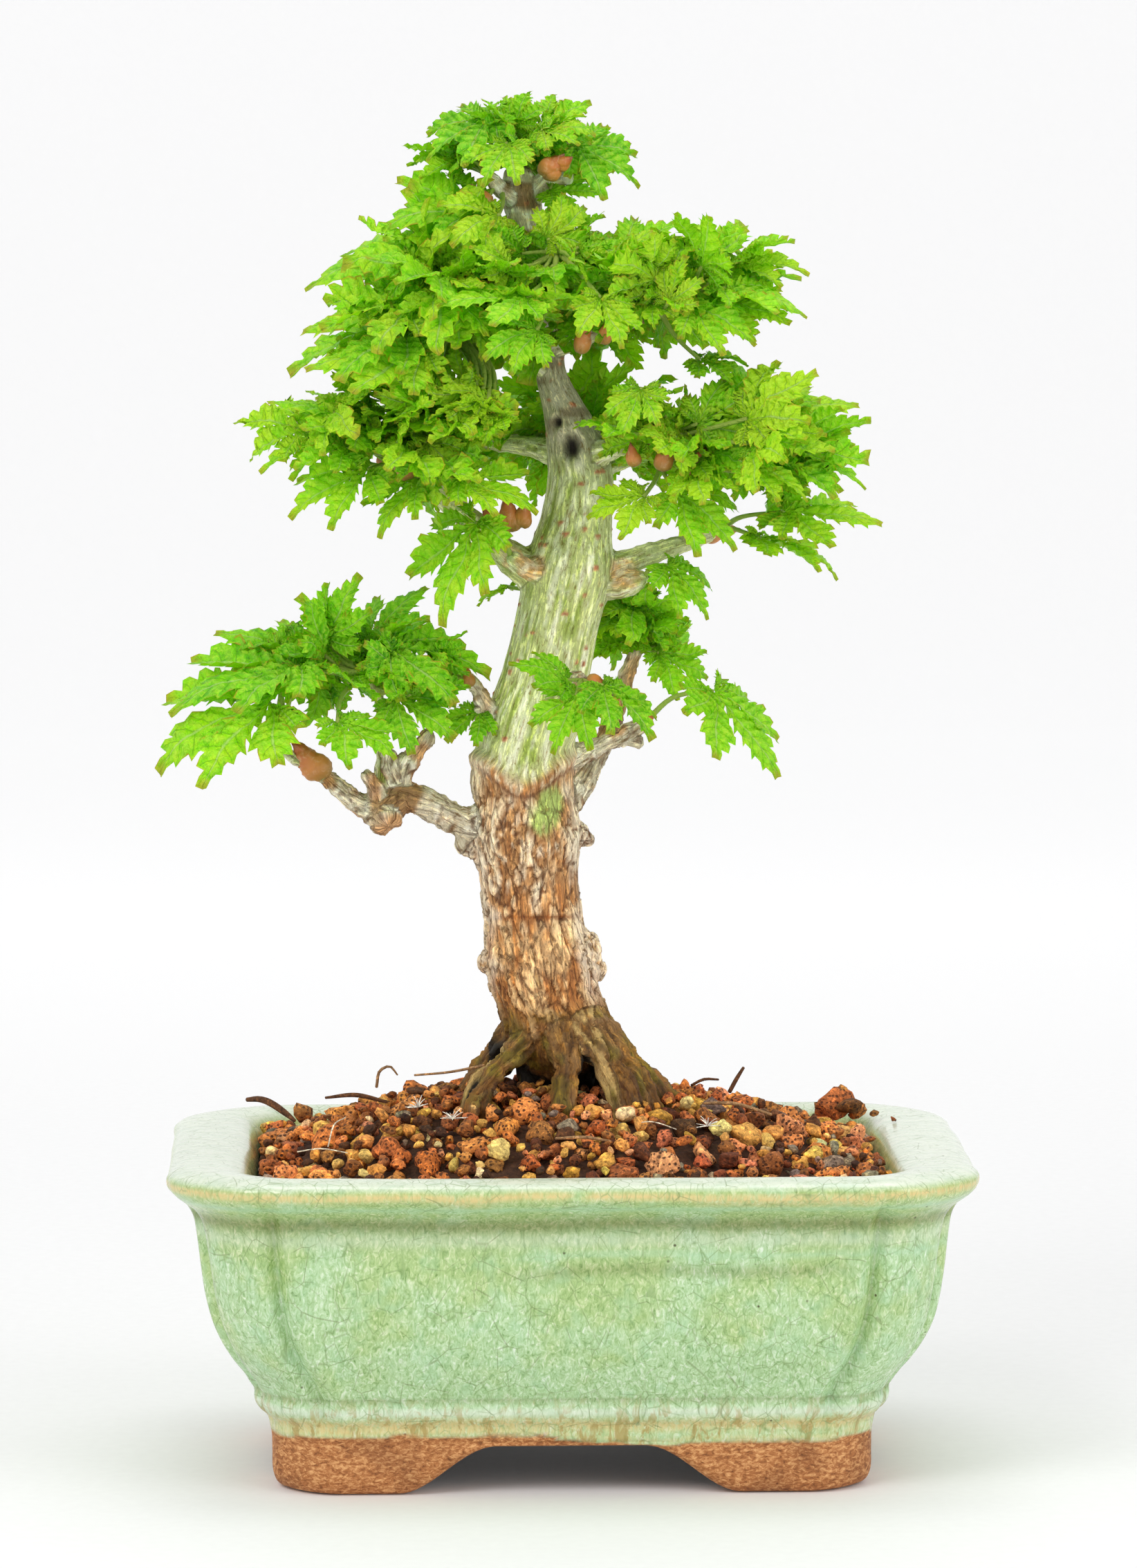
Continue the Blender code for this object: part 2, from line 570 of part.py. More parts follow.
def make_leaf(row, placed):
    """Turns and shortens a leaf a little at a time until it hangs clear of everything already there."""
    name, joint, tip, facing = row
    joint, tip = Vector(joint), Vector(tip)
    rng = random.Random(name)
    length = (tip - joint).length
    for attempt in range(400):
        spread = attempt / 400
        shift = Vector([rng.uniform(-1, 1) for _ in range(3)]) * (7.0 * spread)
        turn = Vector([rng.uniform(-1, 1) for _ in range(3)]) * (length * 0.5 * spread)
        here = joint + shift
        along = (tip + turn * 0.6 - here).normalized()
        there = here + along * length * (1.0 - 0.3 * spread * rng.random())
        if attempt == 0:
            here, there = joint, tip
        spot, radius = nearest_twig(here)
        foot = spot + (here - spot).normalized() * (radius * 1.08 + GAP + 0.45)
        points, faces = leaf_shape(here, there, facing, foot)
        wide, walls = thickened(points, faces, BLADE_THICKNESS + 2 * GAP)
        trial = BVHTree.FromPolygons(wide, walls)
        if not any(trial.overlap(other) for other in placed):
            break
    else:
        print("no clear place for", name)
        return None
    snug, walls = thickened(points, faces, BLADE_THICKNESS)
    placed.append(BVHTree.FromPolygons(snug, walls))
    mesh = bpy.data.meshes.new(name)
    mesh.from_pydata([millimetres(*p) for p in points], [], faces)
    mesh.validate()
    leaf = add_object(name, mesh, parts, "leaf_green")
    shell = leaf.modifiers.new("blade", "SOLIDIFY")
    shell.thickness = BLADE_THICKNESS * MM
    shell.offset = 0.0
    return leaf


def tree_in_millimetres(mesh):
    points = [Vector((v.co.x / MM - SHIFT_X, v.co.y / MM, v.co.z / MM)) for v in mesh.vertices]
    return BVHTree.FromPolygons(points, [tuple(p.vertices) for p in mesh.polygons])


for old in list(bpy.data.objects):
    bpy.data.objects.remove(old)
parts = bpy.data.collections.new("maple_bonsai")
cutters = bpy.data.collections.new("cutters")
bpy.context.scene.collection.children.link(parts)
bpy.context.scene.collection.children.link(cutters)

pot = make_pot()
make_screen("drain_screen_left", -DRAIN_X)
make_screen("drain_screen_right", DRAIN_X)
make_clip("screen_clip_left", -DRAIN_X)
make_clip("screen_clip_right", DRAIN_X)
soil = make_soil()
tree = limb_union("tree", LIMBS, 0.0, parts, "bark")
buds = [make_bud(*row) for row in BUDS]
lumps = [make_lump(*row) for row in LUMPS]

standing = [tree_in_millimetres(settled(obj)) for obj in [pot, soil, tree] + buds + lumps]
for row in LEAVES:
    make_leaf(row, standing)
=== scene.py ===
import math

import bmesh
import bpy
import numpy as np
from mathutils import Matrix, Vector
from mathutils.geometry import tessellate_polygon


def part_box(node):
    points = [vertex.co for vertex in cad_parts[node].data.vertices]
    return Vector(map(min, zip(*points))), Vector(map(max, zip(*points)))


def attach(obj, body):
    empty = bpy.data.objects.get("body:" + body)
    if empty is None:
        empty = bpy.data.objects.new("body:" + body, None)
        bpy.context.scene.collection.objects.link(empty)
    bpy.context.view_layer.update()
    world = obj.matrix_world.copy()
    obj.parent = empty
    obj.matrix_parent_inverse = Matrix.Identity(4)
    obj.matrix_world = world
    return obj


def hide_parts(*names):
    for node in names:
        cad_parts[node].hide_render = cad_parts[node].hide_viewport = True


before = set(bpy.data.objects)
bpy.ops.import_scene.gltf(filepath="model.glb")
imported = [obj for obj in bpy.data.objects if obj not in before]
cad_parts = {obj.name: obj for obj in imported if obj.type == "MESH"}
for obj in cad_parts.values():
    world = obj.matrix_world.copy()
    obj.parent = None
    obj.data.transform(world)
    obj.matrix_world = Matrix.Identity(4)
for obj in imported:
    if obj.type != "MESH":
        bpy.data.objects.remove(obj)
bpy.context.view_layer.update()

# ---------------------------------------------------------------------------------------------------------------
# Pot. Pressed stoneware with four feet, dipped upside down in a celadon glaze that stops above the feet, so the
# iron-brown clay shows there. The glaze runs thin and tan on the edges. The olive in the cove under the lip and
# in the groove above the foot band is painted shade, the pale glaze on the rim top, shoulder and bead is painted
# highlight, a blue-green line round the lip face is a painted reflection, and the hollow foot is painted shade.
# ---------------------------------------------------------------------------------------------------------------
MM = 0.001
pot_low, pot_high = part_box("pot")
FOOT = np.array([(pot_low.x + pot_high.x) / 2, (pot_low.y + pot_high.y) / 2, pot_low.z])


def placed(points):
    """Metres in the frame, from millimetres off the middle of the pot's foot."""
    return np.asarray(points, float) * MM + FOOT


def linked(name, data):
    """A new object in the scene."""
    made = bpy.data.objects.new(name, data)
    bpy.context.scene.collection.objects.link(made)
    return made


def mesh_piece(name, points, faces, numbers=None, colours=None):
    """A mesh object from points in millimetres, with its per-vertex numbers and colours."""
    mesh = bpy.data.meshes.new(name)
    mesh.from_pydata(placed(points).tolist(), [], faces)
    for key, values in (numbers or {}).items():
        layer = mesh.attributes.new(key, "FLOAT", "POINT")
        layer.data.foreach_set("value", np.asarray(values, np.float32))
    for key, values in (colours or {}).items():
        layer = mesh.color_attributes.new(key, "FLOAT_COLOR", "POINT")
        rgba = np.ones((len(points), 4), np.float32)
        rgba[:, :3] = values
        layer.data.foreach_set("color", rgba.ravel())
    mesh.shade_smooth()
    return linked(name, mesh)


def hashed(cells, salt):
    """A repeatable number from 0 to 1 for each whole-number cell."""
    key = cells[..., 0] * 73856093 ^ cells[..., 1] * 19349663 ^ cells[..., 2] * 83492791 ^ (salt * 2654435761)
    key = (key ^ (key >> 13)) * 1274126177 & 0x7FFFFFFF
    key = (key ^ (key >> 15)) * 668265263 & 0x7FFFFFFF
    return (key >> 7 & 0xFFFF) / 65535.0


def lumps(points, size, salt=1):
    """Smooth noise from -1 to 1 over points in millimetres, with features about size across."""
    scaled = np.asarray(points, float) / size + 31.7
    cell = np.floor(scaled).astype(np.int64)
    part = scaled - cell
    part = part * part * (3 - 2 * part)
    total = np.zeros(len(scaled))
    for corner in range(8):
        step = np.array([corner & 1, corner >> 1 & 1, corner >> 2 & 1])
        weight = np.prod(np.where(step == 1, part, 1 - part), axis=1)
        total += weight * (hashed(cell + step, salt) * 2 - 1)
    return total


def smoothstep(low, high, value):
    share = np.clip((value - low) / (high - low), 0, 1)
    return share * share * (3 - 2 * share)


def hump(off, width):
    """A soft hump, 1 where off is 0 and a third of that at width."""
    return np.exp(-((off / width) ** 2))


# Height, half width, half depth, corner cut and depth of the corner grooves, up the outside from the foot.
POT_OUTSIDE = [
    (0.0, 64.4, 42.0, 12.5, 0.0), (0.7, 65.7, 43.3, 12.8, 0.0), (2.2, 66.5, 44.1, 13.0, 0.1),
    (8.0, 66.9, 44.5, 13.4, 0.2), (11.6, 67.0, 44.6, 13.6, 0.3), (13.0, 67.2, 44.9, 13.7, 0.5),
    (15.4, 67.6, 45.2, 14.0, 1.1), (17.0, 69.0, 46.4, 14.2, 1.5), (18.8, 70.0, 47.1, 14.4, 1.8),
    (20.4, 70.2, 47.1, 14.5, 1.9), (21.5, 70.1, 46.8, 14.6, 2.0), (22.8, 70.8, 47.4, 14.8, 2.2),
    (25.0, 72.0, 48.4, 15.0, 2.5), (28.0, 74.2, 50.0, 15.3, 2.8), (32.0, 76.6, 51.8, 15.7, 3.1),
    (37.0, 78.8, 53.5, 16.1, 3.3), (43.0, 80.4, 54.8, 16.4, 3.3), (50.0, 81.5, 55.8, 16.7, 3.2),
    (55.0, 82.1, 56.3, 16.9, 3.0), (58.5, 82.6, 56.6, 17.1, 2.8), (61.5, 83.3, 57.0, 17.6, 2.5),
    (63.8, 84.7, 58.4, 18.8, 2.0),
    (65.6, 86.8, 61.0, 20.4, 1.5), (67.2, 88.6, 63.5, 22.2, 1.0), (68.9, 89.8, 65.1, 23.5, 0.7),
    (70.6, 89.9, 65.2, 23.5, 0.4), (71.8, 88.9, 64.2, 22.9, 0.3), (72.6, 86.9, 62.2, 21.8, 0.2),
    (73.0, 84.0, 59.6, 20.0, 0.1),
]
POT_INSIDE = [
    (72.9, 78.0, 58.6, 16.5, 0.0), (72.4, 74.6, 56.6, 15.0, 0.0), (71.4, 72.6, 55.0, 14.0, 0.0),
    (69.0, 71.2, 53.8, 13.5, 0.0), (60.0, 70.2, 53.0, 13.0, 0.0), (40.0, 68.0, 50.5, 12.0, 0.0),
    (26.0, 62.5, 44.0, 11.0, 0.0), (19.0, 57.0, 38.5, 10.0, 0.0),
]
SOLE = (53.0, 31.0, 10.0)
CEILING = 11.0
GLAZE_LINE = 12.4
DRAINS = (-32.0, 32.0)
DRAIN_RADIUS = 9.0
DRAIN_STEPS = 40
POT_FLOOR = 19.0


def outline(half_x, half_y, cut, groove):
    """One level ring of the pot: straight sides, soft cut corners and a groove on either side of each corner."""
    straight = 1 - (1 - np.linspace(0, 1, 30, endpoint=False)) ** 1.8
    turn = np.linspace(0, math.pi / 2, 30)
    front = (np.linspace(0, 1, 40)[1:]) ** 1.8
    bend = 2 / 1.62
    x = np.concatenate([
        np.full(30, half_x), half_x - cut + cut * np.cos(turn) ** bend, (half_x - cut) * (1 - front),
    ])
    y = np.concatenate([
        straight * (half_y - cut), half_y - cut + cut * np.sin(turn) ** bend, np.full(39, half_y),
    ])
    run = np.concatenate([[0], np.cumsum(np.hypot(np.diff(x), np.diff(y)))])
    push = np.zeros(len(x))
    for start, side in ((run[30], 1.0), (run[59], -1.0)):
        past = (run - start) * side
        push += groove * (0.42 * hump(past + 3.0, 2.4) - hump(past - 1.0, 1.9))
    tangent = np.stack([np.gradient(x), np.gradient(y)], 1)
    tangent /= np.linalg.norm(tangent, axis=1)[:, None]
    x, y = x + tangent[:, 1] * push, y - tangent[:, 0] * push
    quarter = np.stack([x, y], 1)[:-1]
    mirror = np.stack([-x, y], 1)[1:][::-1]
    half = np.concatenate([quarter, mirror])
    return np.concatenate([half, -half])


def arch(x, y):
    """Height of the foot's lower edge, lifted between the feet in an S-shaped sweep."""
    front = smoothstep(38.0, 16.5, np.abs(x + 0.8))
    side = smoothstep(20.0, 8.5, np.abs(y))
    return 10.7 * np.maximum(front, side)


def smooth_rows(table, step, least=1):
    """The table's rows joined by a smooth curve through the first three columns, read off about every step."""
    table = np.array(table, float)
    if len(table) == 2:
        table = np.array([table[0], table.mean(0), table[1]])
    run = np.concatenate([[0], np.cumsum(np.linalg.norm(np.diff(table[:, :3], axis=0), axis=1))])
    slope = np.gradient(table, run, axis=0)
    at = np.linspace(0, run[-1], max(least, int(run[-1] / step) + 1))
    low = np.clip(np.searchsorted(run, at, side="right") - 1, 0, len(run) - 2)
    gap = (run[low + 1] - run[low])[:, None]
    t = (at - run[low])[:, None] / gap
    return (
        table[low] * (2 * t**3 - 3 * t**2 + 1) + slope[low] * gap * (t**3 - 2 * t**2 + t)
        + table[low + 1] * (3 * t**2 - 2 * t**3) + slope[low + 1] * gap * (t**3 - t**2)
    )


def skin(rings, count, first=0):
    """Quads between rings of count points that follow one another, from row first on."""
    quads = []
    for row in range(first, rings - 1):
        base = row * count
        for i in range(count):
            j = (i + 1) % count
            quads.append((base + i, base + j, base + count + j, base + count + i))
    return quads


def pot_points():
    rings = []
    for z, half_x, half_y, cut, groove in smooth_rows(POT_OUTSIDE, 0.8):
        ring = outline(half_x, half_y, cut, groove)
        level = np.full(len(ring), z)
        rise = arch(ring[:, 0], ring[:, 1])
        level = np.where(level < 12.0, rise + level * (12.0 - rise) / 12.0, level)
        rings.append(np.column_stack([ring, level]))
    for z, half_x, half_y, cut, groove in smooth_rows(POT_INSIDE, 2.0):
        ring = outline(half_x, half_y, cut, groove)
        rings.append(np.column_stack([ring, np.full(len(ring), z)]))
    outer = len(rings)
    for half_x, half_y, cut, lift in (
        (62.5, 40.2, 12.0, 0.0), (SOLE[0] + 0.8, SOLE[1] + 0.8, SOLE[2], 0.0),
        (*SOLE, 0.8), (*SOLE, 5.0), (*SOLE, 12.0),
    ):
        ring = outline(half_x, half_y, cut, 0.0)
        rise = arch(ring[:, 0], ring[:, 1])
        level = CEILING if lift == 12.0 else np.minimum(rise + lift, CEILING - 0.1)
        rings.append(np.column_stack([ring, np.broadcast_to(level, len(ring))]))
    return rings, outer


def pot_faces(points, outer, rings, count):
    """The skins of the pot's wall and hollow foot, and its floor with the two drain holes."""
    faces = skin(outer, count)
    below = skin(rings, count, outer)
    faces += [tuple(reversed(f)) for f in below]
    base = outer * count
    faces += [(base + i, base + (i + 1) % count, (i + 1) % count, i) for i in range(count)]
    rounds = []
    ring_of = np.linspace(0, 2 * math.pi, DRAIN_STEPS, endpoint=False)
    for z in (POT_FLOOR, CEILING):
        for x in DRAINS:
            rounds.append(len(points))
            for turn in ring_of:
                points.append((x + DRAIN_RADIUS * math.cos(turn), DRAIN_RADIUS * math.sin(turn), z))
    for start, holes, flip in (((outer - 1) * count, rounds[:2], False), ((rings - 1) * count, rounds[2:], True)):
        loops = [list(range(start, start + count))] + [list(range(h, h + DRAIN_STEPS)) for h in holes]
        flat = [i for loop in loops for i in loop]
        for tri in tessellate_polygon([[Vector(points[i]) for i in loop] for loop in loops]):
            a, b, c = (flat[i] for i in tri)
            cross = (points[b][0] - points[a][0]) * (points[c][1] - points[a][1])
            cross -= (points[b][1] - points[a][1]) * (points[c][0] - points[a][0])
            faces.append((a, b, c) if (cross > 0) != flip else (a, c, b))
    for top, foot in zip(rounds[:2], rounds[2:]):
        for i in range(DRAIN_STEPS):
            j = (i + 1) % DRAIN_STEPS
            faces.append((top + i, foot + i, foot + j, top + j))
    return faces


rings, outer = pot_points()
ring_size = len(rings[0])
flat_pot = [tuple(p) for ring in rings for p in ring]
pot_faces_all = pot_faces(flat_pot, outer, len(rings), ring_size)
shape = np.array(flat_pot)
outward = shape[:, :2] / np.maximum(np.linalg.norm(shape[:, :2], axis=1)[:, None], 1)
index = np.arange(len(shape))
on_wall = (index < outer * ring_size) & (shape[:, 2] > 24)
sway = 0.45 * lumps(shape, 34, 3) + 0.18 * lumps(shape, 11, 4)
shape[:, :2] += outward * (sway * smoothstep(20, 30, shape[:, 2]) * on_wall)[:, None]
shape[:, 2] += 0.25 * lumps(shape, 40, 5) * smoothstep(60, 70, shape[:, 2])
shape[:, 2] = np.minimum(shape[:, 2], 73.2)

around = np.column_stack([shape[:, 0], shape[:, 1], shape[:, 2] * 0])
drift = lumps(around, 14, 6)
z = shape[:, 2]
line = GLAZE_LINE + 1.1 * drift + 0.6 * lumps(around, 4, 7) - 1.6 * smoothstep(-30, 10, shape[:, 0]) + 1.0
hidden = index >= outer * ring_size
clay = np.where(hidden, 1.0, smoothstep(0.35, -0.35, z - line))
lip = hump(z - 69.4 + 0.5 * drift, 0.9) * (np.abs(shape[:, 0]) > 0)
tan = lip + 0.35 * hump(z - 67.6, 0.9) * smoothstep(-0.2, 0.6, drift)
tan = tan + 0.85 * hump(z - 15.9 - 0.6 * drift, 1.6) + 0.5 * hump(z - line - 0.9, 0.8)
# Painted shade: olive darkening in the cove under the lip and in the groove line above the foot band, plus a darker
# olive band across the right of the front.
pool = hump(z - 62.2 + 0.5 * drift, 1.9) + 0.75 * hump(z - 21.5, 0.55)
fold = smoothstep(-24, 0, shape[:, 0]) * hump(z - 51.6 + drift, 1.5) * smoothstep(66, 50, shape[:, 0])
pool += 0.55 * fold
# The lighter blue-green line round the lip face is a painted reflection; a second blue-green line runs across the
# right of the front, lower down.
blue = hump(z - 66.4, 0.7) + 0.8 * hump(z - 55.2 + drift, 0.8) * smoothstep(-24, 0, shape[:, 0])
# Painted highlights: pale glaze on the rim top, on the shoulder under the cove and on the bead above the foot.
pale = smoothstep(70.4, 72.0, z) + 0.75 * hump(z - 18.9, 1.1) + 0.35 * hump(z - 58.7, 1.6)
# Painted shade: marks the inside of the hollow foot, which is painted near black.
under = 1.0 * (index >= (outer + 1) * ring_size)
pot = mesh_piece(
    "pot_body", shape, pot_faces_all,
    {"clay": clay, "tan": tan, "pool": pool, "blue": blue, "pale": np.clip(pale, 0, 1), "under": under},
)


class Value:
    """A number or colour coming out of a node, which + - and * carry on with Math nodes."""

    def __init__(self, paint, socket):
        self.paint = paint
        self.socket = socket

    def math(self, kind, first, second):
        return self.paint.node("ShaderNodeMath", {"operation": kind}, {0: first, 1: second})

    def __add__(self, other):
        return self.math("ADD", self, other)

    def __sub__(self, other):
        return self.math("SUBTRACT", self, other)

    def __rsub__(self, other):
        return self.math("SUBTRACT", other, self)

    def __mul__(self, other):
        return self.math("MULTIPLY", self, other)

    __radd__ = __add__
    __rmul__ = __mul__


class Paint:
    """A material under construction."""

    def __init__(self, name):
        self.material = bpy.data.materials.new(name)
        self.material.use_nodes = True
        self.tree = self.material.node_tree
        self.tree.nodes.clear()

    def node(self, kind, settings=None, sockets=None, out=0):
        made = self.tree.nodes.new(kind)
        for key, value in (settings or {}).items():
            if key == "stops":
                while len(made.color_ramp.elements) < len(value):
                    made.color_ramp.elements.new(1.0)
                for element, (at, colour) in zip(made.color_ramp.elements, value):
                    element.position = at
                    element.color = (*colour, 1.0)
            else:
                setattr(made, key, value)
        for key, value in (sockets or {}).items():
            if isinstance(value, Value):
                self.tree.links.new(value.socket, made.inputs[key])
            elif isinstance(value, tuple) and made.inputs[key].type == "RGBA":
                made.inputs[key].default_value = (*value, 1.0)
            else:
                made.inputs[key].default_value = value
        return Value(self, made.outputs[out])

    def spot(self, stretch=(1.0, 1.0, 1.0)):
        """Millimetres in the object's own space, stretched along each axis."""
        at = self.node("ShaderNodeTexCoord", out=3)
        scale = tuple(s / MM for s in stretch)
        return self.node("ShaderNodeVectorMath", {"operation": "MULTIPLY"}, {0: at, 1: scale})

    def noise(self, at, size, detail=2.0, rough=0.5, twist=0.0):
        sockets = {"Vector": at, "Scale": 1.0 / size, "Detail": detail, "Roughness": rough, "Distortion": twist}
        return self.node("ShaderNodeTexNoise", None, sockets)

    def cells(self, at, size, feature="F1", out="Distance"):
        return self.node("ShaderNodeTexVoronoi", {"feature": feature}, {"Vector": at, "Scale": 1.0 / size}, out)

    def attribute(self, name, out="Fac"):
        return self.node("ShaderNodeAttribute", {"attribute_name": name}, None, out)

    def ramp(self, value, *stops):
        return self.node("ShaderNodeValToRGB", {"stops": stops}, {0: value})

    def band(self, value, low, high):
        """From 0 at low to 1 at high, smoothly, for either order of the two."""
        return self.node("ShaderNodeMapRange", {"interpolation_type": "SMOOTHSTEP"}, {0: value, 1: low, 2: high})

    def mix(self, share, first, second, blend="MIX"):
        settings = {"data_type": "RGBA", "blend_type": blend, "clamp_factor": True}
        return self.node("ShaderNodeMix", settings, {0: share, 6: first, 7: second}, 2)

    def coats(self, colour, *layers):
        """The colour under one coat after another, each a share, a colour and, for some, a blend."""
        for share, tint, *blend in layers:
            colour = self.mix(share, colour, tint, *blend)
        return colour

    def bump(self, height, strength, distance):
        sockets = {"Height": height, "Strength": strength, "Distance": distance * MM}
        return self.node("ShaderNodeBump", None, sockets)

    def finish(self, sockets, shader=None):
        """Ends in a Principled surface with these sockets, or in the shader given."""
        end = shader or self.node("ShaderNodeBsdfPrincipled", None, sockets)
        last = self.tree.nodes.new("ShaderNodeOutputMaterial")
        self.tree.links.new(end.socket, last.inputs["Surface"])
        return self.material


def glaze_paint():
    paint = Paint("celadon_glaze")
    at = paint.spot()
    tall = paint.spot((1.0, 1.0, 0.55))
    maze = paint.noise(tall, 1.15, 3.0, 0.62, 1.4)
    cloud = paint.noise(at, 17.0, 3.0, 0.6)
    patch = paint.noise(at, 6.0, 2.0, 0.5)
    colour = paint.ramp(
        maze, (0.24, (0.16, 0.30, 0.095)), (0.40, (0.38, 0.58, 0.28)),
        (0.56, (0.52, 0.71, 0.42)), (0.72, (0.78, 0.88, 0.72)),
    )
    level = paint.node("ShaderNodeSeparateXYZ", None, {0: at}, 2) - FOOT[2] / MM
    warm = paint.band(cloud + (level - 40.0) * 0.006, 0.42, 0.66)
    colour = paint.coats(
        colour,
        (warm * 0.8, (0.90, 0.86, 0.58), "MULTIPLY"),
        (paint.band(patch, 0.5, 0.7) * 0.30, (0.40, 0.66, 0.42)),
        # Painted reflection: the blue-green line round the lip face.
        (paint.attribute("blue") * 0.55, (0.44, 0.68, 0.45)),
        # Painted shade: the olive bands darken the cove under the lip and the groove above the foot band.
        (paint.attribute("pool") * 0.85, (0.50, 0.44, 0.32), "MULTIPLY"),
    )
    streak = paint.noise(paint.spot((1.0, 1.0, 0.25)), 0.9, 2.0, 0.6)
    colour = paint.mix(paint.attribute("tan") * paint.band(streak, 0.10, 0.6), colour, (0.74, 0.58, 0.25))
    # Painted highlight: a pale glaze colour laid over the rim top, the shoulder and the bead.
    swirl = paint.noise(paint.spot((0.3, 1.0, 1.0)), 2.2)
    painted_highlight_glaze = paint.mix(paint.band(swirl, 0.4, 0.7), (0.78, 0.83, 0.71), (0.66, 0.75, 0.62))
    colour = paint.mix(paint.attribute("pale") * 0.92, colour, painted_highlight_glaze)
    run = paint.noise(paint.spot((1.0, 1.0, 0.35)), 4.0, 4.0, 0.7, 0.6)
    drip = paint.band(run, 0.52, 0.62) * paint.band(level, 25.0, 14.0)
    colour = paint.mix(drip * 0.8, colour, (0.42, 0.30, 0.085))
    veil = paint.noise(paint.spot((1.0, 1.0, 0.16)), 1.1, 3.0, 0.7)
    colour = paint.mix(paint.band(veil, 0.50, 0.36) * 0.30, colour, (0.52, 0.62, 0.40), "MULTIPLY")
    web = paint.cells(paint.spot((1.0, 1.0, 0.6)), 3.0, "DISTANCE_TO_EDGE")
    web = paint.band(web, 0.05, 0.0) * paint.band(paint.noise(at, 7.0, 2.0), 0.40, 0.60)
    colour = paint.mix(web * 0.55, colour, (0.22, 0.34, 0.12))
    drift = paint.node("ShaderNodeTexNoise", None, {"Vector": at, "Scale": 0.12}, 1)
    crack = paint.cells(paint.mix(0.12, at, drift, "ADD"), 8.5, "DISTANCE_TO_EDGE")
    thin = paint.band(crack, 0.022, 0.0) * paint.band(paint.noise(at, 5.0), 0.42, 0.62)
    colour = paint.mix(thin * 0.55, colour, (0.16, 0.22, 0.07))
    pin = paint.band(paint.cells(at, 5.5), 0.075, 0.035) * paint.band(paint.noise(at, 9.0), 0.5, 0.6)
    colour = paint.mix(pin * 0.9, colour, (0.07, 0.06, 0.02))
    clay_grain = paint.noise(paint.spot((0.7, 0.7, 1.3)), 1.0, 4.0, 0.7, 0.6)
    clay = paint.ramp(
        clay_grain, (0.30, (0.16, 0.048, 0.010)), (0.48, (0.44, 0.160, 0.045)), (0.66, (0.80, 0.42, 0.17)),
    )
    clay = paint.mix(paint.band(paint.noise(at, 12.0), 0.45, 0.65) * 0.5, clay, (0.55, 0.50, 0.46), "MULTIPLY")
    bare = paint.attribute("clay")
    # Painted shade: the clay inside the hollow foot is darkened to near black.
    clay = paint.mix(paint.attribute("under"), clay, (0.02, 0.016, 0.012), "MULTIPLY")
    colour = paint.mix(bare, colour, clay)
    rough = 0.13 + bare * 0.6 + paint.band(maze, 0.4, 0.7) * 0.06
    wave = paint.noise(at, 3.5, 2.0) * 0.6 + maze * 0.12 - pin * 0.5
    height = wave * (1.0 - bare) + clay_grain * bare * 0.6
    normal = paint.bump(height, 0.5, 0.5)
    return paint.finish({"Base Color": colour, "Roughness": rough, "Normal": normal, "IOR": 1.5})


pot.data.materials.append(glaze_paint())
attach(pot, "root")
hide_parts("pot")

# ---------------------------------------------------------------------------------------------------------------
# Drain screens and clips. Black woven plastic net over each drain hole, held by a bent aluminium wire.
# ---------------------------------------------------------------------------------------------------------------


def screen_paint():
    paint = Paint("drain_net")
    grain = paint.noise(paint.spot(), 0.8, 3.0, 0.6)
    colour = paint.ramp(grain, (0.3, (0.014, 0.014, 0.013)), (0.7, (0.045, 0.042, 0.036)))
    rough = 0.42 + grain * 0.25
    return paint.finish({"Base Color": colour, "Roughness": rough, "Normal": paint.bump(grain, 0.4, 0.2)})


def clip_paint():
    paint = Paint("clip_wire")
    drawn = paint.noise(paint.spot((0.2, 1.0, 1.0)), 0.5, 3.0, 0.6)
    colour = paint.ramp(drawn, (0.3, (0.46, 0.45, 0.43)), (0.7, (0.66, 0.65, 0.62)))
    rough = 0.30 + drawn * 0.22
    normal = paint.bump(drawn, 0.3, 0.1)
    return paint.finish({"Base Color": colour, "Roughness": rough, "Metallic": 1.0, "Normal": normal})


net, wire = screen_paint(), clip_paint()
for side in ("left", "right"):
    for node, finish, slot in (
        ("drain_screen_" + side, net, "mesh_plastic"), ("screen_clip_" + side, wire, "clip_metal"),
    ):
        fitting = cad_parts[node]
        fitting.material_slots[0].material = finish

# ---------------------------------------------------------------------------------------------------------------
# Soil. A dark bed of fines heaped up to the roots, covered with broken lava, baked clay and pumice grit of 2 to
# 8 mm that was poured on and settled, with a few dry twigs, root hairs and seed tufts lying on it.
# ---------------------------------------------------------------------------------------------------------------
INSIDE_X, INSIDE_Y = 70.6, 53.2
BED_X, BED_Y, BED_CELL = 72.0, 55.0, 0.5
DROPPED, FINE_FROM, FINE_SIZE = 2700, 1500, 0.55
STONES, GRIT_GROUPS, GROUP_REACH = 14, 5, 53.0


def mound(x, y):
    """Height of the top of the grit over a spot."""
    away = np.minimum(1.0, np.hypot(x / 71.0, y / 54.0))
    ripple = 0.7 * np.sin(0.31 * x + 0.9) * np.sin(0.27 * y + 0.4)
    left = 1.5 * np.exp(-(((x + 34) / 14) ** 2) - (((y - 2) / 18) ** 2))
    dip = 8.5 * np.exp(-(((x - 45) / 17) ** 2) - (((y - 52) / 16) ** 2))
    dip = dip + 2.5 * np.exp(-(((x + 56) / 12) ** 2) - (((y - 50) / 10) ** 2))
    front = 0.9 * np.clip((-43.0 - y) / 8.0, 0.0, 1.0)
    return 70.8 + 14.6 * (1.0 - away**2.0) + left - dip - front + ripple * (1.0 - away)


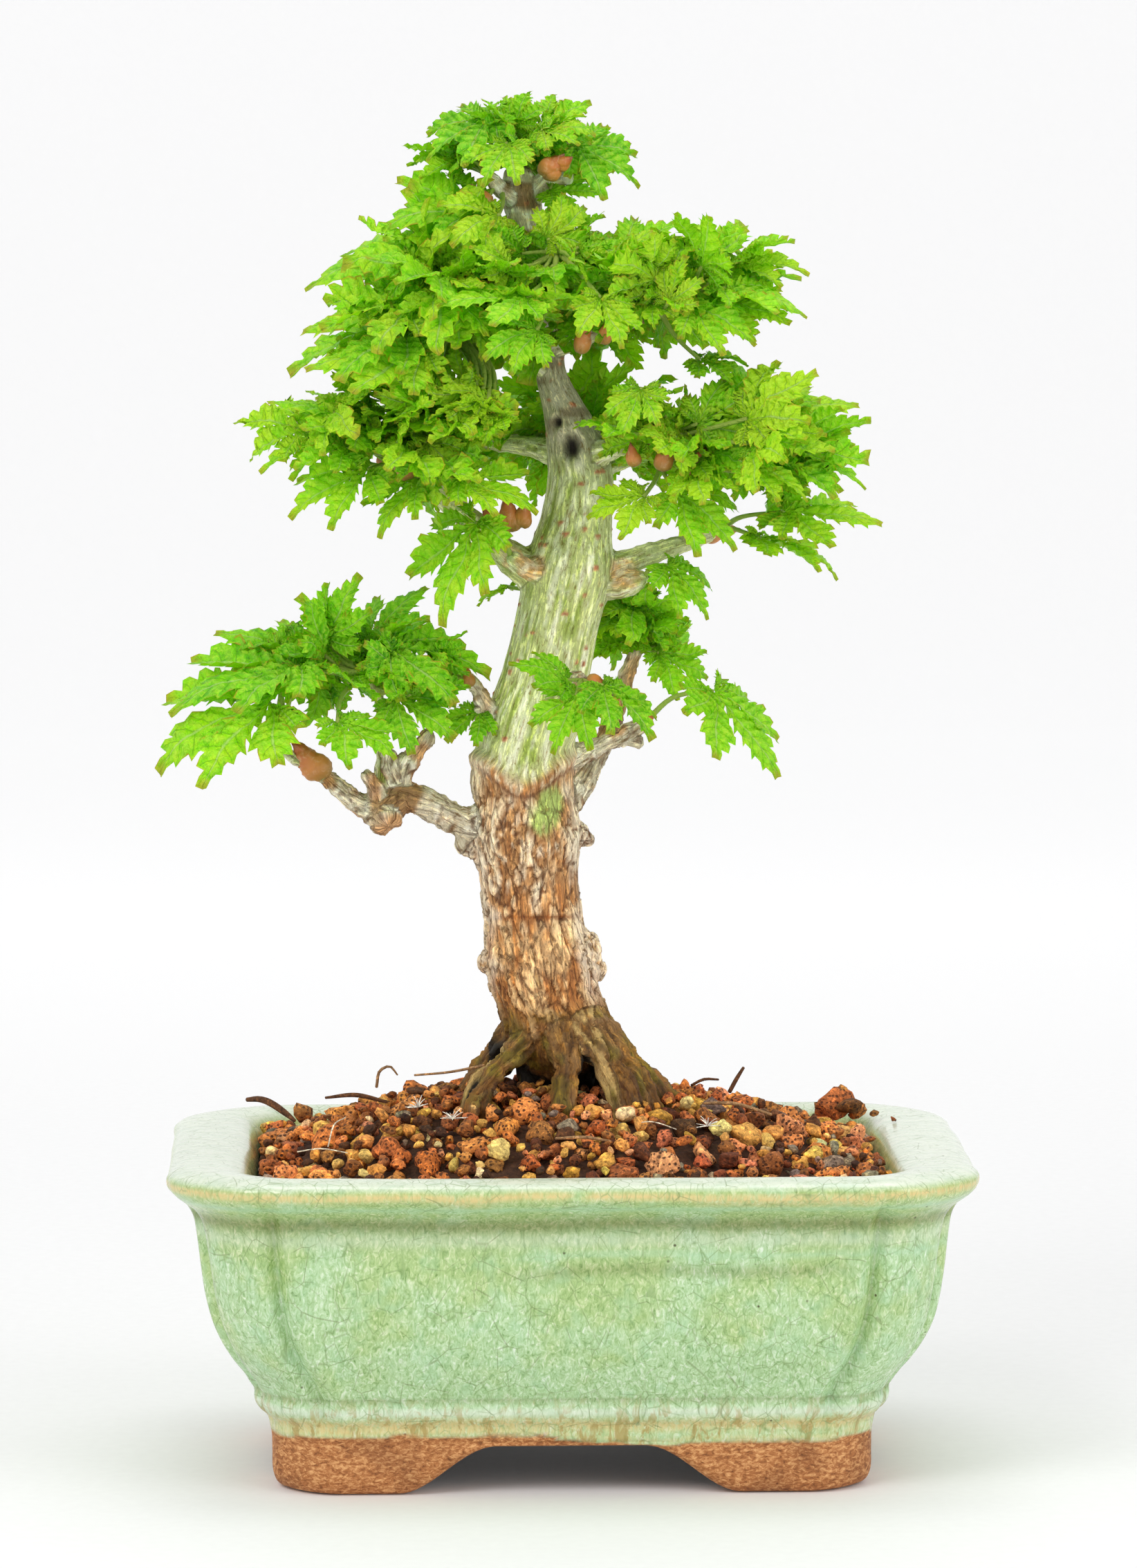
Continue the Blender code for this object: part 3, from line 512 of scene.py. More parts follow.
def soil_bed():
    shares = np.linspace(1.0, 0.0, 30)[:-1]
    edge = outline(INSIDE_X - 0.6, INSIDE_Y - 0.6, 13.4, 0.0)[::2]
    floor = outline(57.0, 38.5, 10.0, 0.0)[::2]
    rings = [np.column_stack([floor, np.full(len(floor), 24.2)])]
    for share in shares:
        x, y = edge[:, 0] * share, edge[:, 1] * share
        z = mound(x, y) - 3.4 + 0.7 * lumps(np.column_stack([x, y, x * 0]), 3.0, 11)
        rings.append(np.column_stack([x, y, z]))
    count = len(edge)
    points = np.concatenate(rings)
    faces = skin(len(rings), count)
    last = (len(rings) - 1) * count
    faces.append(tuple(range(last, last + count)))
    faces.append(tuple(range(count - 1, -1, -1)))
    return mesh_piece("soil_bed", points, faces)


def soil_paint():
    paint = Paint("soil_fines")
    grain = paint.noise(paint.spot(), 1.4, 4.0, 0.7)
    colour = paint.ramp(grain, (0.3, (0.020, 0.008, 0.004)), (0.6, (0.09, 0.035, 0.014)), (0.8, (0.20, 0.09, 0.04)))
    rough = 0.95 - grain * 0.15
    return paint.finish({"Base Color": colour, "Roughness": rough, "Normal": paint.bump(grain, 0.9, 0.8)})


bed = soil_bed()
bed.data.materials.append(soil_paint())
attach(bed, "root")
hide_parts("soil")

# Where the roots go into the ground, and how far out each keeps the grit off: x, y, radius.
ROOT_FEET = [
    (-1, 8.5, 11.0), (-20.0, -16.0, 2.8), (-23.4, -12.0, 1.8), (-1.0, -18.2, 3.1), (10.0, -17.8, 1.9),
    (14.4, -16.0, 2.0), (17.6, -12.0, 2.6), (20.2, -7.3, 2.5), (21.6, -2, 3.4), (7, 23, 3.6), (-19, 19, 3.0),
    (-22, 7, 2.8), (20.5, 14.5, 3.0),
]
# Grit kinds: share, dark colour, light colour, how many pores, and smallest and largest radius.
GRIT_KINDS = [
    (0.25, (0.21, 0.062, 0.013), (0.62, 0.215, 0.048), 0.8, 1.9, 4.3),
    (0.26, (0.54, 0.130, 0.020), (1.00, 0.37, 0.088), 1.0, 2.0, 4.8),
    (0.19, (0.72, 0.30, 0.045), (1.00, 0.60, 0.14), 0.3, 1.7, 4.0),
    (0.05, (0.86, 0.50, 0.13), (1.00, 0.80, 0.38), 0.15, 1.9, 3.9),
    (0.10, (0.55, 0.14, 0.045), (0.95, 0.40, 0.17), 1.0, 2.0, 5.0),
    (0.04, (0.16, 0.11, 0.07), (0.42, 0.32, 0.22), 0.4, 1.6, 3.2),
    (0.10, (0.060, 0.020, 0.006), (0.17, 0.055, 0.014), 0.5, 1.4, 3.2),
]
# Lumps that lie by themselves at the back of the rim: x, y, z, radius.
LOOSE_LUMPS = [
    (63.5, 38.0, 75.6, 4.6), (69.0, 38.5, 73.6, 2.6), (66.0, 34.0, 75.4, 3.2), (62.0, 41.0, 74.5, 3.4),
    (65.0, 39.0, 78.2, 2.4), (-60.0, 41.0, 73.6, 3.0), (72.6, 33.0, 73.9, 1.1), (76.4, 26.0, 73.6, 0.7),
]


def settle_grit(rng):
    """Drops grains one by one, each into the lowest of a few spots, until the bed is covered."""
    xs = np.arange(-BED_X, BED_X + 0.1, BED_CELL)
    ys = np.arange(-BED_Y, BED_Y + 0.1, BED_CELL)
    ground = mound(xs[None, :], ys[:, None]) - 4.6
    rounded = 13.0
    grains = []
    shares = np.cumsum([k[0] for k in GRIT_KINDS])
    for number in range(DROPPED):
        kind = int(np.searchsorted(shares, rng.random() * shares[-1]))
        low, high = GRIT_KINDS[kind][4:]
        radius = low + (high - low) * rng.random() ** 1.7
        if number > FINE_FROM:
            radius *= FINE_SIZE
        best = None
        for _ in range(7):
            x = rng.uniform(-INSIDE_X + radius, INSIDE_X - radius)
            y = rng.uniform(-INSIDE_Y + radius, INSIDE_Y - radius)
            corner = math.hypot(max(0, abs(x) - INSIDE_X + rounded), max(0, abs(y) - INSIDE_Y + rounded))
            if corner > rounded - radius * 0.9:
                continue
            if any(math.hypot(x - a, y - b) < r + radius * 0.75 for a, b, r in ROOT_FEET):
                continue
            i, j = int((x + BED_X) / BED_CELL), int((y + BED_Y) / BED_CELL)
            n = int(radius / BED_CELL)
            patch = ground[max(0, j - n): j + n + 1, max(0, i - n): i + n + 1]
            px = xs[max(0, i - n): i + n + 1][None, :] - x
            py = ys[max(0, j - n): j + n + 1][:, None] - y
            reach = radius**2 - px**2 - py**2
            dome = np.sqrt(np.maximum(reach, 0))
            z = float(np.max(np.where(reach > 0, patch + dome * 0.8, -1e9)))
            over = z - float(mound(x, y))
            if best is None or over < best[0]:
                best = (over, x, y, z, i, j, n, reach, dome)
        if best is None or best[0] + radius * 0.5 > 1.6:
            continue
        _, x, y, z, i, j, n, reach, dome = best
        view = ground[max(0, j - n): j + n + 1, max(0, i - n): i + n + 1]
        np.maximum(view, np.where(reach > 0, z + dome * 0.8, -1e9), out=view)
        grains.append((x, y, z, radius, kind))
    return grains


def broken_stone(rng, level):
    """A unit lump with worn facets and a rough skin."""
    bm = bmesh.new()
    bmesh.ops.create_icosphere(bm, subdivisions=level, radius=1.0)
    points = np.array([v.co[:] for v in bm.verts])
    faces = np.array([[v.index for v in f.verts] for f in bm.faces])
    bm.free()
    reach = np.full(len(points), 1.12)
    for _ in range(8):
        facet = rng.normal(size=3)
        facet /= np.linalg.norm(facet)
        facing = points @ facet
        reach = np.minimum(reach, rng.uniform(0.50, 0.92) / np.maximum(facing, 0.25))
    shape = points * reach[:, None] * rng.uniform(0.74, 1.24, size=3)
    bumps = 0.18 * lumps(points, 0.5, int(rng.integers(1000))) + 0.12 * lumps(points, 0.24, int(rng.integers(1000)))
    return shape * (1 + bumps)[:, None], faces


def spun(rng):
    """A random turn as a 3 by 3 matrix."""
    turn, _ = np.linalg.qr(rng.normal(size=(3, 3)))
    return turn


def grit_pieces():
    rng = np.random.default_rng(11)
    fine = [broken_stone(rng, 3) for _ in range(STONES)]
    plain = [broken_stone(rng, 2) for _ in range(STONES)]
    grains = settle_grit(rng)
    grains += [(*lump, 0) for lump in LOOSE_LUMPS]
    groups = [[] for _ in range(GRIT_GROUPS)]
    for grain in grains:
        group = int((grain[1] + GROUP_REACH) / (2 * GROUP_REACH) * GRIT_GROUPS)
        groups[min(GRIT_GROUPS - 1, group)].append(grain)
    for number, group in enumerate(groups):
        points, faces, tints, pores, start = [], [], [], [], 0
        for x, y, z, radius, kind in group:
            _, dark, light, pore, _, _ = GRIT_KINDS[kind]
            near = radius > 2.0 and z > mound(x, y) - 2.6 and y < 20
            shape, tris = (fine if near else plain)[int(rng.integers(STONES))]
            flat = np.array([1.0, rng.uniform(0.8, 1.0), rng.uniform(0.72, 0.95)])
            body = (shape * flat) @ spun(rng).T * radius * 1.06
            body[:, 2] *= 0.86
            points.append(body + (x, y, z))
            faces.append(tris + start)
            start += len(body)
            tint = np.array(dark) + (np.array(light) - dark) * rng.random()
            tint = tint * rng.uniform(0.82, 1.12, size=3)
            tints.append(np.tile(tint, (len(body), 1)))
            pores.append(np.full(len(body), pore))
        points, faces = np.concatenate(points), np.concatenate(faces)
        yield mesh_piece(
            f"soil_grit_{number}", points, faces.tolist(),
            {"pores": np.concatenate(pores)}, {"tint": np.concatenate(tints)},
        )


def grit_paint():
    paint = Paint("lava_grit")
    at = paint.spot()
    tint = paint.attribute("tint", "Color")
    rubble = paint.noise(at, 1.3, 4.0, 0.75, 0.5)
    # Painted highlight and shade: the noise that roughens the grit's skin lifts its raised patches far above the
    # grain's own colour as painted highlights and darkens its low patches as painted shade.
    colour = paint.mix(paint.band(rubble, 0.50, 0.68), tint, (2.6, 2.5, 2.2), "MULTIPLY")
    colour = paint.mix(paint.band(rubble, 0.48, 0.32) * 0.85, colour, (0.22, 0.15, 0.10), "MULTIPLY")
    pit = paint.band(paint.cells(at, 1.0), 0.42, 0.24) * paint.attribute("pores")
    colour = paint.mix(pit * 0.85, colour, (0.030, 0.010, 0.006))
    height = rubble * 0.8 - pit * 0.6
    rough = 0.85 - paint.band(rubble, 0.5, 0.7) * 0.2
    return paint.finish({"Base Color": colour, "Roughness": rough, "Normal": paint.bump(height, 1.0, 0.9)})


grit = grit_paint()
for piece in grit_pieces():
    piece.data.materials.append(grit)
    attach(piece, "root")
    if piece.name == "soil_grit_4":
        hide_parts("grit_lump_left", "grit_lump_right")

# ---------------------------------------------------------------------------------------------------------------
# Tree. A maple trunk on exposed roots, with stubs where branches were pruned. The bark is smooth and striped
# green above, and breaks into cream and brown plates below; the roots stand free of the soil with hollows between.
# ---------------------------------------------------------------------------------------------------------------
# Limbs as x, y, z and radius along the middle: the trunk, then as many roots as ROOTS says, then the branches.
LIMBS = [
    [(-1.0, 9, 70, 9.5), (-1.0, 8.5, 84, 9.6), (-1.2, 7.4, 90, 10.0), (-2.0, 3.6, 96, 11.4),
     (-2.8, 0.4, 100, 12.0), (-4.6, 0, 105, 11.8), (-6.2, 0, 112, 12.3), (-7.2, 0, 118, 11.4),
     (-8.0, 0, 125, 10.9), (-8.9, 0, 134, 11.2), (-9.3, 0, 143, 12.4), (-9.6, 0, 150, 11.4),
     (-10.2, 0, 157, 11.5), (-9.4, 0, 163, 10.6), (-8.0, 0, 168, 10.5), (-5.3, 0, 178, 9.8), (-2.0, 0, 193, 9.5),
     (0.2, 0, 203, 9.9), (2.0, 0, 214, 8.2), (2.8, 0, 223, 7.4), (1.6, 0, 231, 6.4), (-0.8, 0, 238, 4.9),
     (-3.6, 0, 245, 3.7), (-5.0, 0, 255, 3.4), (-7.0, 0, 268, 3.6), (-9.2, 0, 280, 4.0), (-11.0, 0, 288, 4.2),
     (-11.4, 0, 292, 3.2)],
    [(-6, -4, 100, 5.2), (-10.2, -8.0, 96.0, 2.7), (-14.6, -11.5, 92.2, 2.0), (-18.4, -14.4, 88.2, 2.1),
     (-20.8, -16.6, 84.0, 2.5), (-22.0, -18, 76, 3.0)],
    [(-8, -3, 99, 4.4), (-13, -6.4, 93.4, 2.1), (-17.6, -9, 90.2, 1.7), (-21.6, -11, 86.6, 1.6),
     (-24.2, -13, 78, 1.8)],
    [(-2.5, -5, 101, 6.4), (-1.4, -11.0, 96.0, 3.9), (-0.6, -14.5, 91.6, 2.7), (-1.4, -16.6, 87.4, 2.9),
     (-1.4, -19, 77, 3.6)],
    [(1, -5, 101, 6.2), (4.2, -11, 96.4, 3.2), (6.6, -14.5, 92.4, 1.9), (9.0, -17, 87.6, 1.7),
     (11.6, -19, 78, 2.2)],
    [(2, -5, 101, 5.2), (6.6, -10, 95.8, 3.0), (10.4, -13, 91.0, 2.1), (13.6, -15.5, 86.2, 2.0),
     (16, -17, 77, 2.3)],
    [(2, -3, 102, 5.8), (7.0, -7, 96.8, 4.0), (11.6, -9.5, 91.8, 2.9), (16.4, -11.5, 86.6, 2.6),
     (21, -13, 77, 2.6)],
    [(3, -2, 102, 5.4), (9.2, -4.6, 95.2, 3.5), (14.5, -6, 90.2, 2.8), (19.4, -7, 85.2, 2.5), (24, -8, 77, 2.4)],
    [(1, 0, 104, 6.0), (4.2, -0.6, 98.0, 4.7), (8.8, -1, 93.2, 4.0), (13.8, -1.5, 89.0, 3.7),
     (19.8, -2, 84.6, 3.4), (27, -2, 76, 3)],
    [(0, 5, 104, 7), (3, 13, 95, 5.6), (6, 20, 88, 4.2), (9, 28, 77, 3)],
    [(-5, 4, 104, 6.5), (-11, 11, 95, 4.6), (-17, 17, 87, 3.2), (-22, 22, 76, 2.5)],
    [(-6, 2, 102, 5.6), (-13, 4.5, 94, 4.0), (-19, 6.5, 88, 3.0), (-26, 8, 77, 2.4)],
    [(2, 4, 103, 6.0), (7, 9, 94, 4.2), (14, 13, 87, 3.2), (23, 16, 76, 2.6)],
    [(-12, -1, 144.0, 5.4), (-18, -1.5, 145.4, 5.0), (-22.5, -2, 145.4, 3.7), (-31, -3, 149.6, 3.3),
     (-37, -4, 151.6, 3.4), (-42, -4, 148.5, 4.0), (-46, -4.6, 149.5, 2.6), (-50, -5.6, 152.0, 2.1),
     (-54.0, -6.2, 156, 1.8)],
    [(-37, -4, 151, 2.6), (-37.4, -4, 157, 2.1), (-36.2, -4, 159.4, 2.4), (-33.6, -4, 162.2, 1.7),
     (-32.0, -4, 164.6, 2.0)],
    [(-38, -4, 154, 2.0), (-40.2, -4.6, 158, 2.2), (-40.6, -5, 161.6, 1.7)],
    [(-42, -4, 149, 2.0), (-41.8, -4, 160, 1.35), (-41.6, -4.6, 168, 1.2), (-43, -6, 175, 1.2),
     (-45, -8, 180, 1.1)],
    [(-42, -4, 150, 2.6), (-44, -7, 154.6, 1.7), (-45.6, -8.4, 157.4, 1.2)],
    [(-42, -4, 149, 2.5), (-41, -7, 146.6, 3.4), (-43.5, -5.0, 146.0, 2.6)],
    [(-54, -6.2, 156, 1.6), (-60.5, -7, 160, 1.2), (-67, -9, 165, 1.0)],
    [(-4, 0, 200, 5.6), (-10, -1, 203.4, 4.4), (-14, -1.4, 206.4, 3.6), (-18, -2, 210, 3.1),
     (-25, -3, 216.4, 2.6), (-31, -5, 221, 2.4), (-37, -6, 225, 2.0)],
    [(3, 0, 201, 5.6), (10, 0.6, 203.0, 3.6), (20, 3, 206.3, 2.5), (28, 5, 208.6, 2.1), (35, 6, 211.0, 1.5)],
    [(4, 0, 199, 4), (11.5, -1, 199.0, 3.2), (15.0, -2, 200.0, 2.7), (17.2, -2.4, 200.6, 1.8)],
    [(-4, -2, 203, 3), (-9, -8, 203, 2.4), (-13, -9, 206, 1.8)],
    [(-4, 3, 146, 5), (2, 7, 152, 3.4), (7, 11, 160, 2.6), (11, 14, 168, 2.3), (14, 14, 178, 1.8),
     (16, 12, 184, 1.5)],
    [(-2, 1, 158, 4), (5, 2, 161.5, 2.2), (11, 2.6, 164.0, 1.8), (14.5, 3, 166, 2.1), (17.5, 3, 167.6, 1.6)],
    [(12, 3, 164, 1.5), (16.5, 3, 163.2, 1.6)],
    [(-13, -2, 163, 4.5), (-17, -3.6, 168.6, 2.6), (-19, -4.6, 173, 1.9), (-22.4, -5, 178.6, 1.5)],
    [(-17, -3.6, 169, 2.2), (-21, -5.6, 170.6, 1.5)],
    [(1, -2, 176, 4), (2, -9, 178, 2.0), (2.6, -15, 178.6, 1.5)],
    [(1, 0, 226, 4), (10, -6, 230, 2.4), (20, -12, 232, 1.8)],
    [(1, 0, 222, 4), (10, 8, 226, 2.4), (20, 14, 229, 1.8), (30, 16, 231, 1.4)],
    [(1, 0, 228, 4), (-8, 8, 230, 2.4), (-19, 14, 231, 1.8), (-28, 16, 231, 1.4)],
    [(-4, 0, 247, 2.8), (-14, -6, 253, 2.0), (-26, -13, 256, 1.6)],
    [(-5, 0, 252, 2.8), (6, -6, 256, 2.0), (20, -14, 261, 1.6)],
    [(-6, 0, 262, 2.8), (-2, 9, 266, 2.0), (0, 15, 268, 1.6)],
    [(-8, 0, 274, 2.6), (-5, -9, 274, 1.8), (-3, -15, 274, 1.5)],
    [(-10, 0, 284, 2.8), (-15, -4, 288, 2.0), (-18, -5, 291, 1.6)],
    [(-9.5, 0, 284, 2.8), (-5, -1, 290, 2.2), (-1.5, -1, 294.6, 3.0), (1.0, -1, 297.6, 2.3)],
    [(-4, -1, 290, 2.0), (0.4, -4, 290.6, 1.9)],
    [(-10.5, 1, 287, 2.4), (-11, 6, 293, 1.8), (-11, 9, 298, 1.5)],
]
# Swellings grown into the wood: x, y, z, radius.
KNOBS = [
    (-19.4, -1.0, 144.6, 4.2), (-22.4, -1.5, 141.0, 3.3), (-19.0, -1.5, 137.6, 2.8), (2.6, 0.0, 143.0, 2.9),
    (4.6, 0.5, 141.4, 1.7), (-18.4, -1, 113.4, 2.6), (3.2, -1.0, 116.6, 4.6), (4.4, -1.0, 112.4, 4.2),
    (9.0, -2.0, 204.6, 2.2), (-8.4, -5.2, 203.6, 2.4), (-42.5, -4.0, 149.0, 4.4), (-32.0, -4.0, 165.0, 2.2),
    (17.6, 3.0, 167.8, 1.9), (1.2, -1.0, 298.0, 2.7),
]
TREE_VOXEL = 0.62
ROOTS = 12
PALE_ROOTS = (2, 4)
GREEN_SHOOTS = (16, 19)


def swept(run, sides, step=1.5, closed=True):
    """A tube along a limb with domed ends."""
    table = smooth_rows(run, step, 4)
    centres, radii = table[:, :3], np.maximum(table[:, 3], 0.05)
    tangents = np.gradient(centres, axis=0)
    tangents /= np.linalg.norm(tangents, axis=1)[:, None]
    side = np.cross(tangents[0], (0.3, 1.0, 0.2))
    rings = []
    turn = np.linspace(0, 2 * math.pi, sides, endpoint=False)
    rows = list(zip(centres, tangents, radii))
    if closed:
        rows = [(rows[0][0] - rows[0][1] * rows[0][2] * 0.4, rows[0][1], rows[0][2] * 0.45)] + rows
        rows.append((rows[-1][0] + rows[-1][1] * rows[-1][2] * 0.45, rows[-1][1], rows[-1][2] * 0.5))
    for centre, tangent, radius in rows:
        side = side - tangent * (side @ tangent)
        side /= np.linalg.norm(side)
        other = np.cross(tangent, side)
        rings.append(centre + radius * (np.cos(turn)[:, None] * side + np.sin(turn)[:, None] * other))
    points = np.concatenate(rings)
    faces = skin(len(rings), sides)
    faces.append(tuple(range(sides - 1, -1, -1)))
    last = (len(rings) - 1) * sides
    faces.append(tuple(range(last, last + sides)))
    return points, faces


def merged(shapes):
    """One list of points and faces from several."""
    points, faces, start = [], [], 0
    for some, theirs in shapes:
        points.append(some)
        faces += [tuple(i + start for i in face) for face in theirs]
        start += len(some)
    return np.concatenate(points), faces


def tree_body():
    """All limbs and knobs grown into one skin by a fine voxel remesh."""
    shapes = [swept(run, 28 if number == 0 else 16) for number, run in enumerate(LIMBS)]
    for x, y, z, radius in KNOBS:
        low, high = (x, y, z - radius * 0.6, radius * 0.8), (x, y, z + radius * 0.6, radius * 0.75)
        shapes.append(swept([low, (x, y, z, radius), high], 14, 0.8))
    points, faces = merged(shapes)
    rough = mesh_piece("tree_rough", points, faces)
    step = rough.modifiers.new("skin", "REMESH")
    step.mode = "VOXEL"
    step.voxel_size = TREE_VOXEL * MM
    soft = rough.modifiers.new("soft", "SMOOTH")
    soft.iterations = 5
    soft.factor = 0.6
    bpy.context.view_layer.update()
    grown = bpy.data.meshes.new_from_object(rough.evaluated_get(bpy.context.evaluated_depsgraph_get()))
    bpy.data.objects.remove(rough)
    count = len(grown.vertices)
    points = np.zeros(count * 3)
    grown.vertices.foreach_get("co", points)
    normals = np.zeros(count * 3)
    grown.vertices.foreach_get("normal", normals)
    faces = [tuple(face.vertices) for face in grown.polygons]
    return (points.reshape(-1, 3) - FOOT) / MM, normals.reshape(-1, 3), faces


def limb_places(points):
    """For each point: which limb is nearest, how far along it, the limb's radius there and the way round it."""
    best = np.full(len(points), 1e9)
    limb = np.zeros(len(points), int)
    along = np.zeros(len(points))
    thick = np.ones(len(points))
    round_ = np.zeros(len(points))
    for number, run in enumerate(LIMBS):
        table = np.array(run, float)
        start = 0.0
        for a, b in zip(table, table[1:]):
            line = b[:3] - a[:3]
            length = np.linalg.norm(line)
            share = np.clip((points - a[:3]) @ line / length**2, 0, 1)
            spot = a[:3] + share[:, None] * line
            radius = a[3] + (b[3] - a[3]) * share
            gap = points - spot
            away = np.linalg.norm(gap, axis=1) - radius
            nearer = away < best
            across = np.cross(line / length, (0.2, 1.0, 0.1))
            across /= np.linalg.norm(across)
            other = np.cross(line / length, across)
            best = np.where(nearer, away, best)
            limb = np.where(nearer, number, limb)
            along = np.where(nearer, start + share * length, along)
            thick = np.where(nearer, radius, thick)
            round_ = np.where(nearer, np.arctan2(gap @ other, gap @ across), round_)
            start += length
    return limb, along, thick, round_


def cell_noise(points, size, salt):
    """Distance to the nearest of scattered seeds, how much farther the next is, and a number for the seed."""
    scaled = points / size + 57.3
    base = np.floor(scaled).astype(np.int64)
    first = np.full(len(points), 9.0)
    second = np.full(len(points), 9.0)
    tone = np.zeros(len(points))
    for offset in np.ndindex(3, 3, 3):
        cell = base + np.array(offset) - 1
        seed = cell + np.stack([hashed(cell, salt + k) for k in range(3)], 1)
        away = np.linalg.norm(seed - scaled, axis=1)
        second = np.where(away < first, first, np.minimum(second, away))
        tone = np.where(away < first, hashed(cell, salt + 7), tone)
        first = np.minimum(first, away)
    return first, second - first, tone


tree_points, tree_normals, tree_faces = tree_body()
limb, along, thick, round_ = limb_places(tree_points)
height = tree_points[:, 2]
is_trunk = limb == 0
is_root = (limb >= 1) & (limb <= ROOTS)
is_limb = ~is_trunk & ~is_root
old = smoothstep(168, 146, height) * (~is_limb) + 0.75 * is_limb * smoothstep(190, 170, height)
low_bark = smoothstep(132, 118, height)
rolled = np.column_stack([np.cos(round_) * thick, np.sin(round_) * thick, along])
axis = np.array(LIMBS[0], float)
upright = np.column_stack([tree_points[:, k] - np.interp(height, axis[:, 2], axis[:, k]) for k in (0, 1)] + [height])
rolled = np.where(is_trunk[:, None], upright, rolled)
warp = np.column_stack([lumps(rolled, 6, 21), lumps(rolled, 6, 22), lumps(rolled, 9, 23)]) * 1.6
flow = rolled + warp * 0.8
flake = lumps(flow * (1.0, 1.0, 0.26), 2.1, 31) + 0.45 * lumps(flow * (1.0, 1.0, 0.4), 1.0, 32)
flake_fine = lumps(flow * (1.0, 1.0, 0.22), 1.1, 41) + 0.4 * lumps(flow * (1.0, 1.0, 0.5), 0.6, 42)
fibre = lumps(rolled * (1.0, 1.0, 0.12), 0.9, 51)
fibre_fine = lumps(rolled * (1.0, 1.0, 0.16), 0.5, 52)
broad = lumps(rolled * (1.0, 1.0, 0.5), 8, 53)
ring_a, ring_b = lumps(rolled * (0.3, 0.3, 1.0), 2.2, 54), lumps(rolled * (0.4, 0.4, 1.0), 1.0, 55)
crack = smoothstep(0.15, 0.03, np.abs(flake - 0.16)) * old
crack_fine = smoothstep(0.14, 0.02, np.abs(flake_fine - 0.05)) * old
plate = smoothstep(0.22, 0.34, flake) * old
lift = 0.42 * plate - 0.55 * crack * (0.5 + 0.5 * low_bark) - 0.28 * crack_fine
lift += 0.20 * fibre * (0.4 + old) + 0.10 * fibre_fine + 0.5 * broad * (is_trunk * 0.8 + 0.3)
lift += 0.22 * ring_b * is_limb + 0.25 * lumps(tree_points, 2.0, 56) * is_limb
lift += is_root * (0.85 * lumps(rolled * (1.0, 1.0, 0.2), 1.6, 57) + 0.55 * lumps(tree_points, 2.4, 58))
collar_z = 161.5 - 7.6 * hump(tree_points[:, 0] + 10.0, 8.0)
in_front = smoothstep(2.0, -2.0, tree_points[:, 1])
collar = hump(height - collar_z + 0.3 * broad + 0.3 * fibre, 1.9) * is_trunk * in_front
lift += 1.3 * collar - 0.5 * hump(height - collar_z - 3.0, 1.2) * is_trunk * in_front
scar = np.zeros(len(height))
for spot, radius, depth in (((0.4, -7.6, 230.6), 2.6, 2.2), ((-2.6, -5.4, 236.0), 1.3, 1.2)):
    away = np.linalg.norm((tree_points - spot) * (1.0, 0.7, 0.8), axis=1)
    scar = np.maximum(scar, smoothstep(radius * 1.25, radius * 0.5, away))
    lift += 0.6 * hump(away - radius * 1.4, 0.7) - depth * smoothstep(radius * 1.1, radius * 0.4, away)
wound = np.zeros(len(height))
for x, y, z, radius in (
    (-9.0, -8.6, 204.0, 4.2), (12.5, -3.0, 202.0, 4.6), (-12.6, -4, 206.0, 3.0), (9.0, -7.5, 199.5, 2.4),
):
    away = np.linalg.norm(tree_points - (x, y, z), axis=1) + 0.9 * lumps(tree_points, 1.6, 61)
    wound = np.maximum(wound, smoothstep(radius, radius * 0.6, away))
spots, _, spot_tone = cell_noise(rolled * (1.0, 1.0, 1.4), 4.4, 71)
lenticel = smoothstep(0.24, 0.15, spots) * (height > 163) * (spot_tone > 0.35) * is_trunk
lift += 0.22 * lenticel + 0.35 * wound * lumps(tree_points, 1.2, 62)
tree_points = tree_points + tree_normals * lift[:, None]


def sheltered(points, normals):
    """How shut in each point near the roots is by the wood round it, from 0 to 1, for the painted shade between the
    roots.
    """
    near = np.where(points[:, 2] < 108)[0]
    shut = np.zeros(len(points))
    ways = ((0, 0, 0), (0.8, 0, 0), (-0.8, 0, 0), (0, -0.8, 0), (0, 0, 0.8), (0, 0, -0.8))
    for reach in (2.6, 5.5):
        for way in ways:
            ray = normals[near] + way
            ray /= np.linalg.norm(ray, axis=1)[:, None]
            spot = points[near] + ray * reach
            away = np.full(len(near), 1e9)
            for run in LIMBS[: ROOTS + 1]:
                table = np.array(run, float)
                for a, b in zip(table, table[1:]):
                    if min(a[2], b[2]) > 116:
                        continue
                    line = b[:3] - a[:3]
                    share = np.clip((spot - a[:3]) @ line / (line @ line), 0, 1)
                    gap = np.linalg.norm(spot - a[:3] - share[:, None] * line, axis=1)
                    away = np.minimum(away, gap - a[3] - (b[3] - a[3]) * share)
            shut[near] += smoothstep(0.55 * reach, -0.2 * reach, away) / (2 * len(ways))
    return shut


root_shade = sheltered(tree_points, tree_normals)


def layered(colour, *coats):
    """The colour under one coat after another, each a share for every point and a colour."""
    colour = np.asarray(colour, float)
    for share, tint in coats:
        share = np.clip(share, 0, 1)[:, None]
        colour = colour * (1 - share) + np.array(tint) * share
    return colour


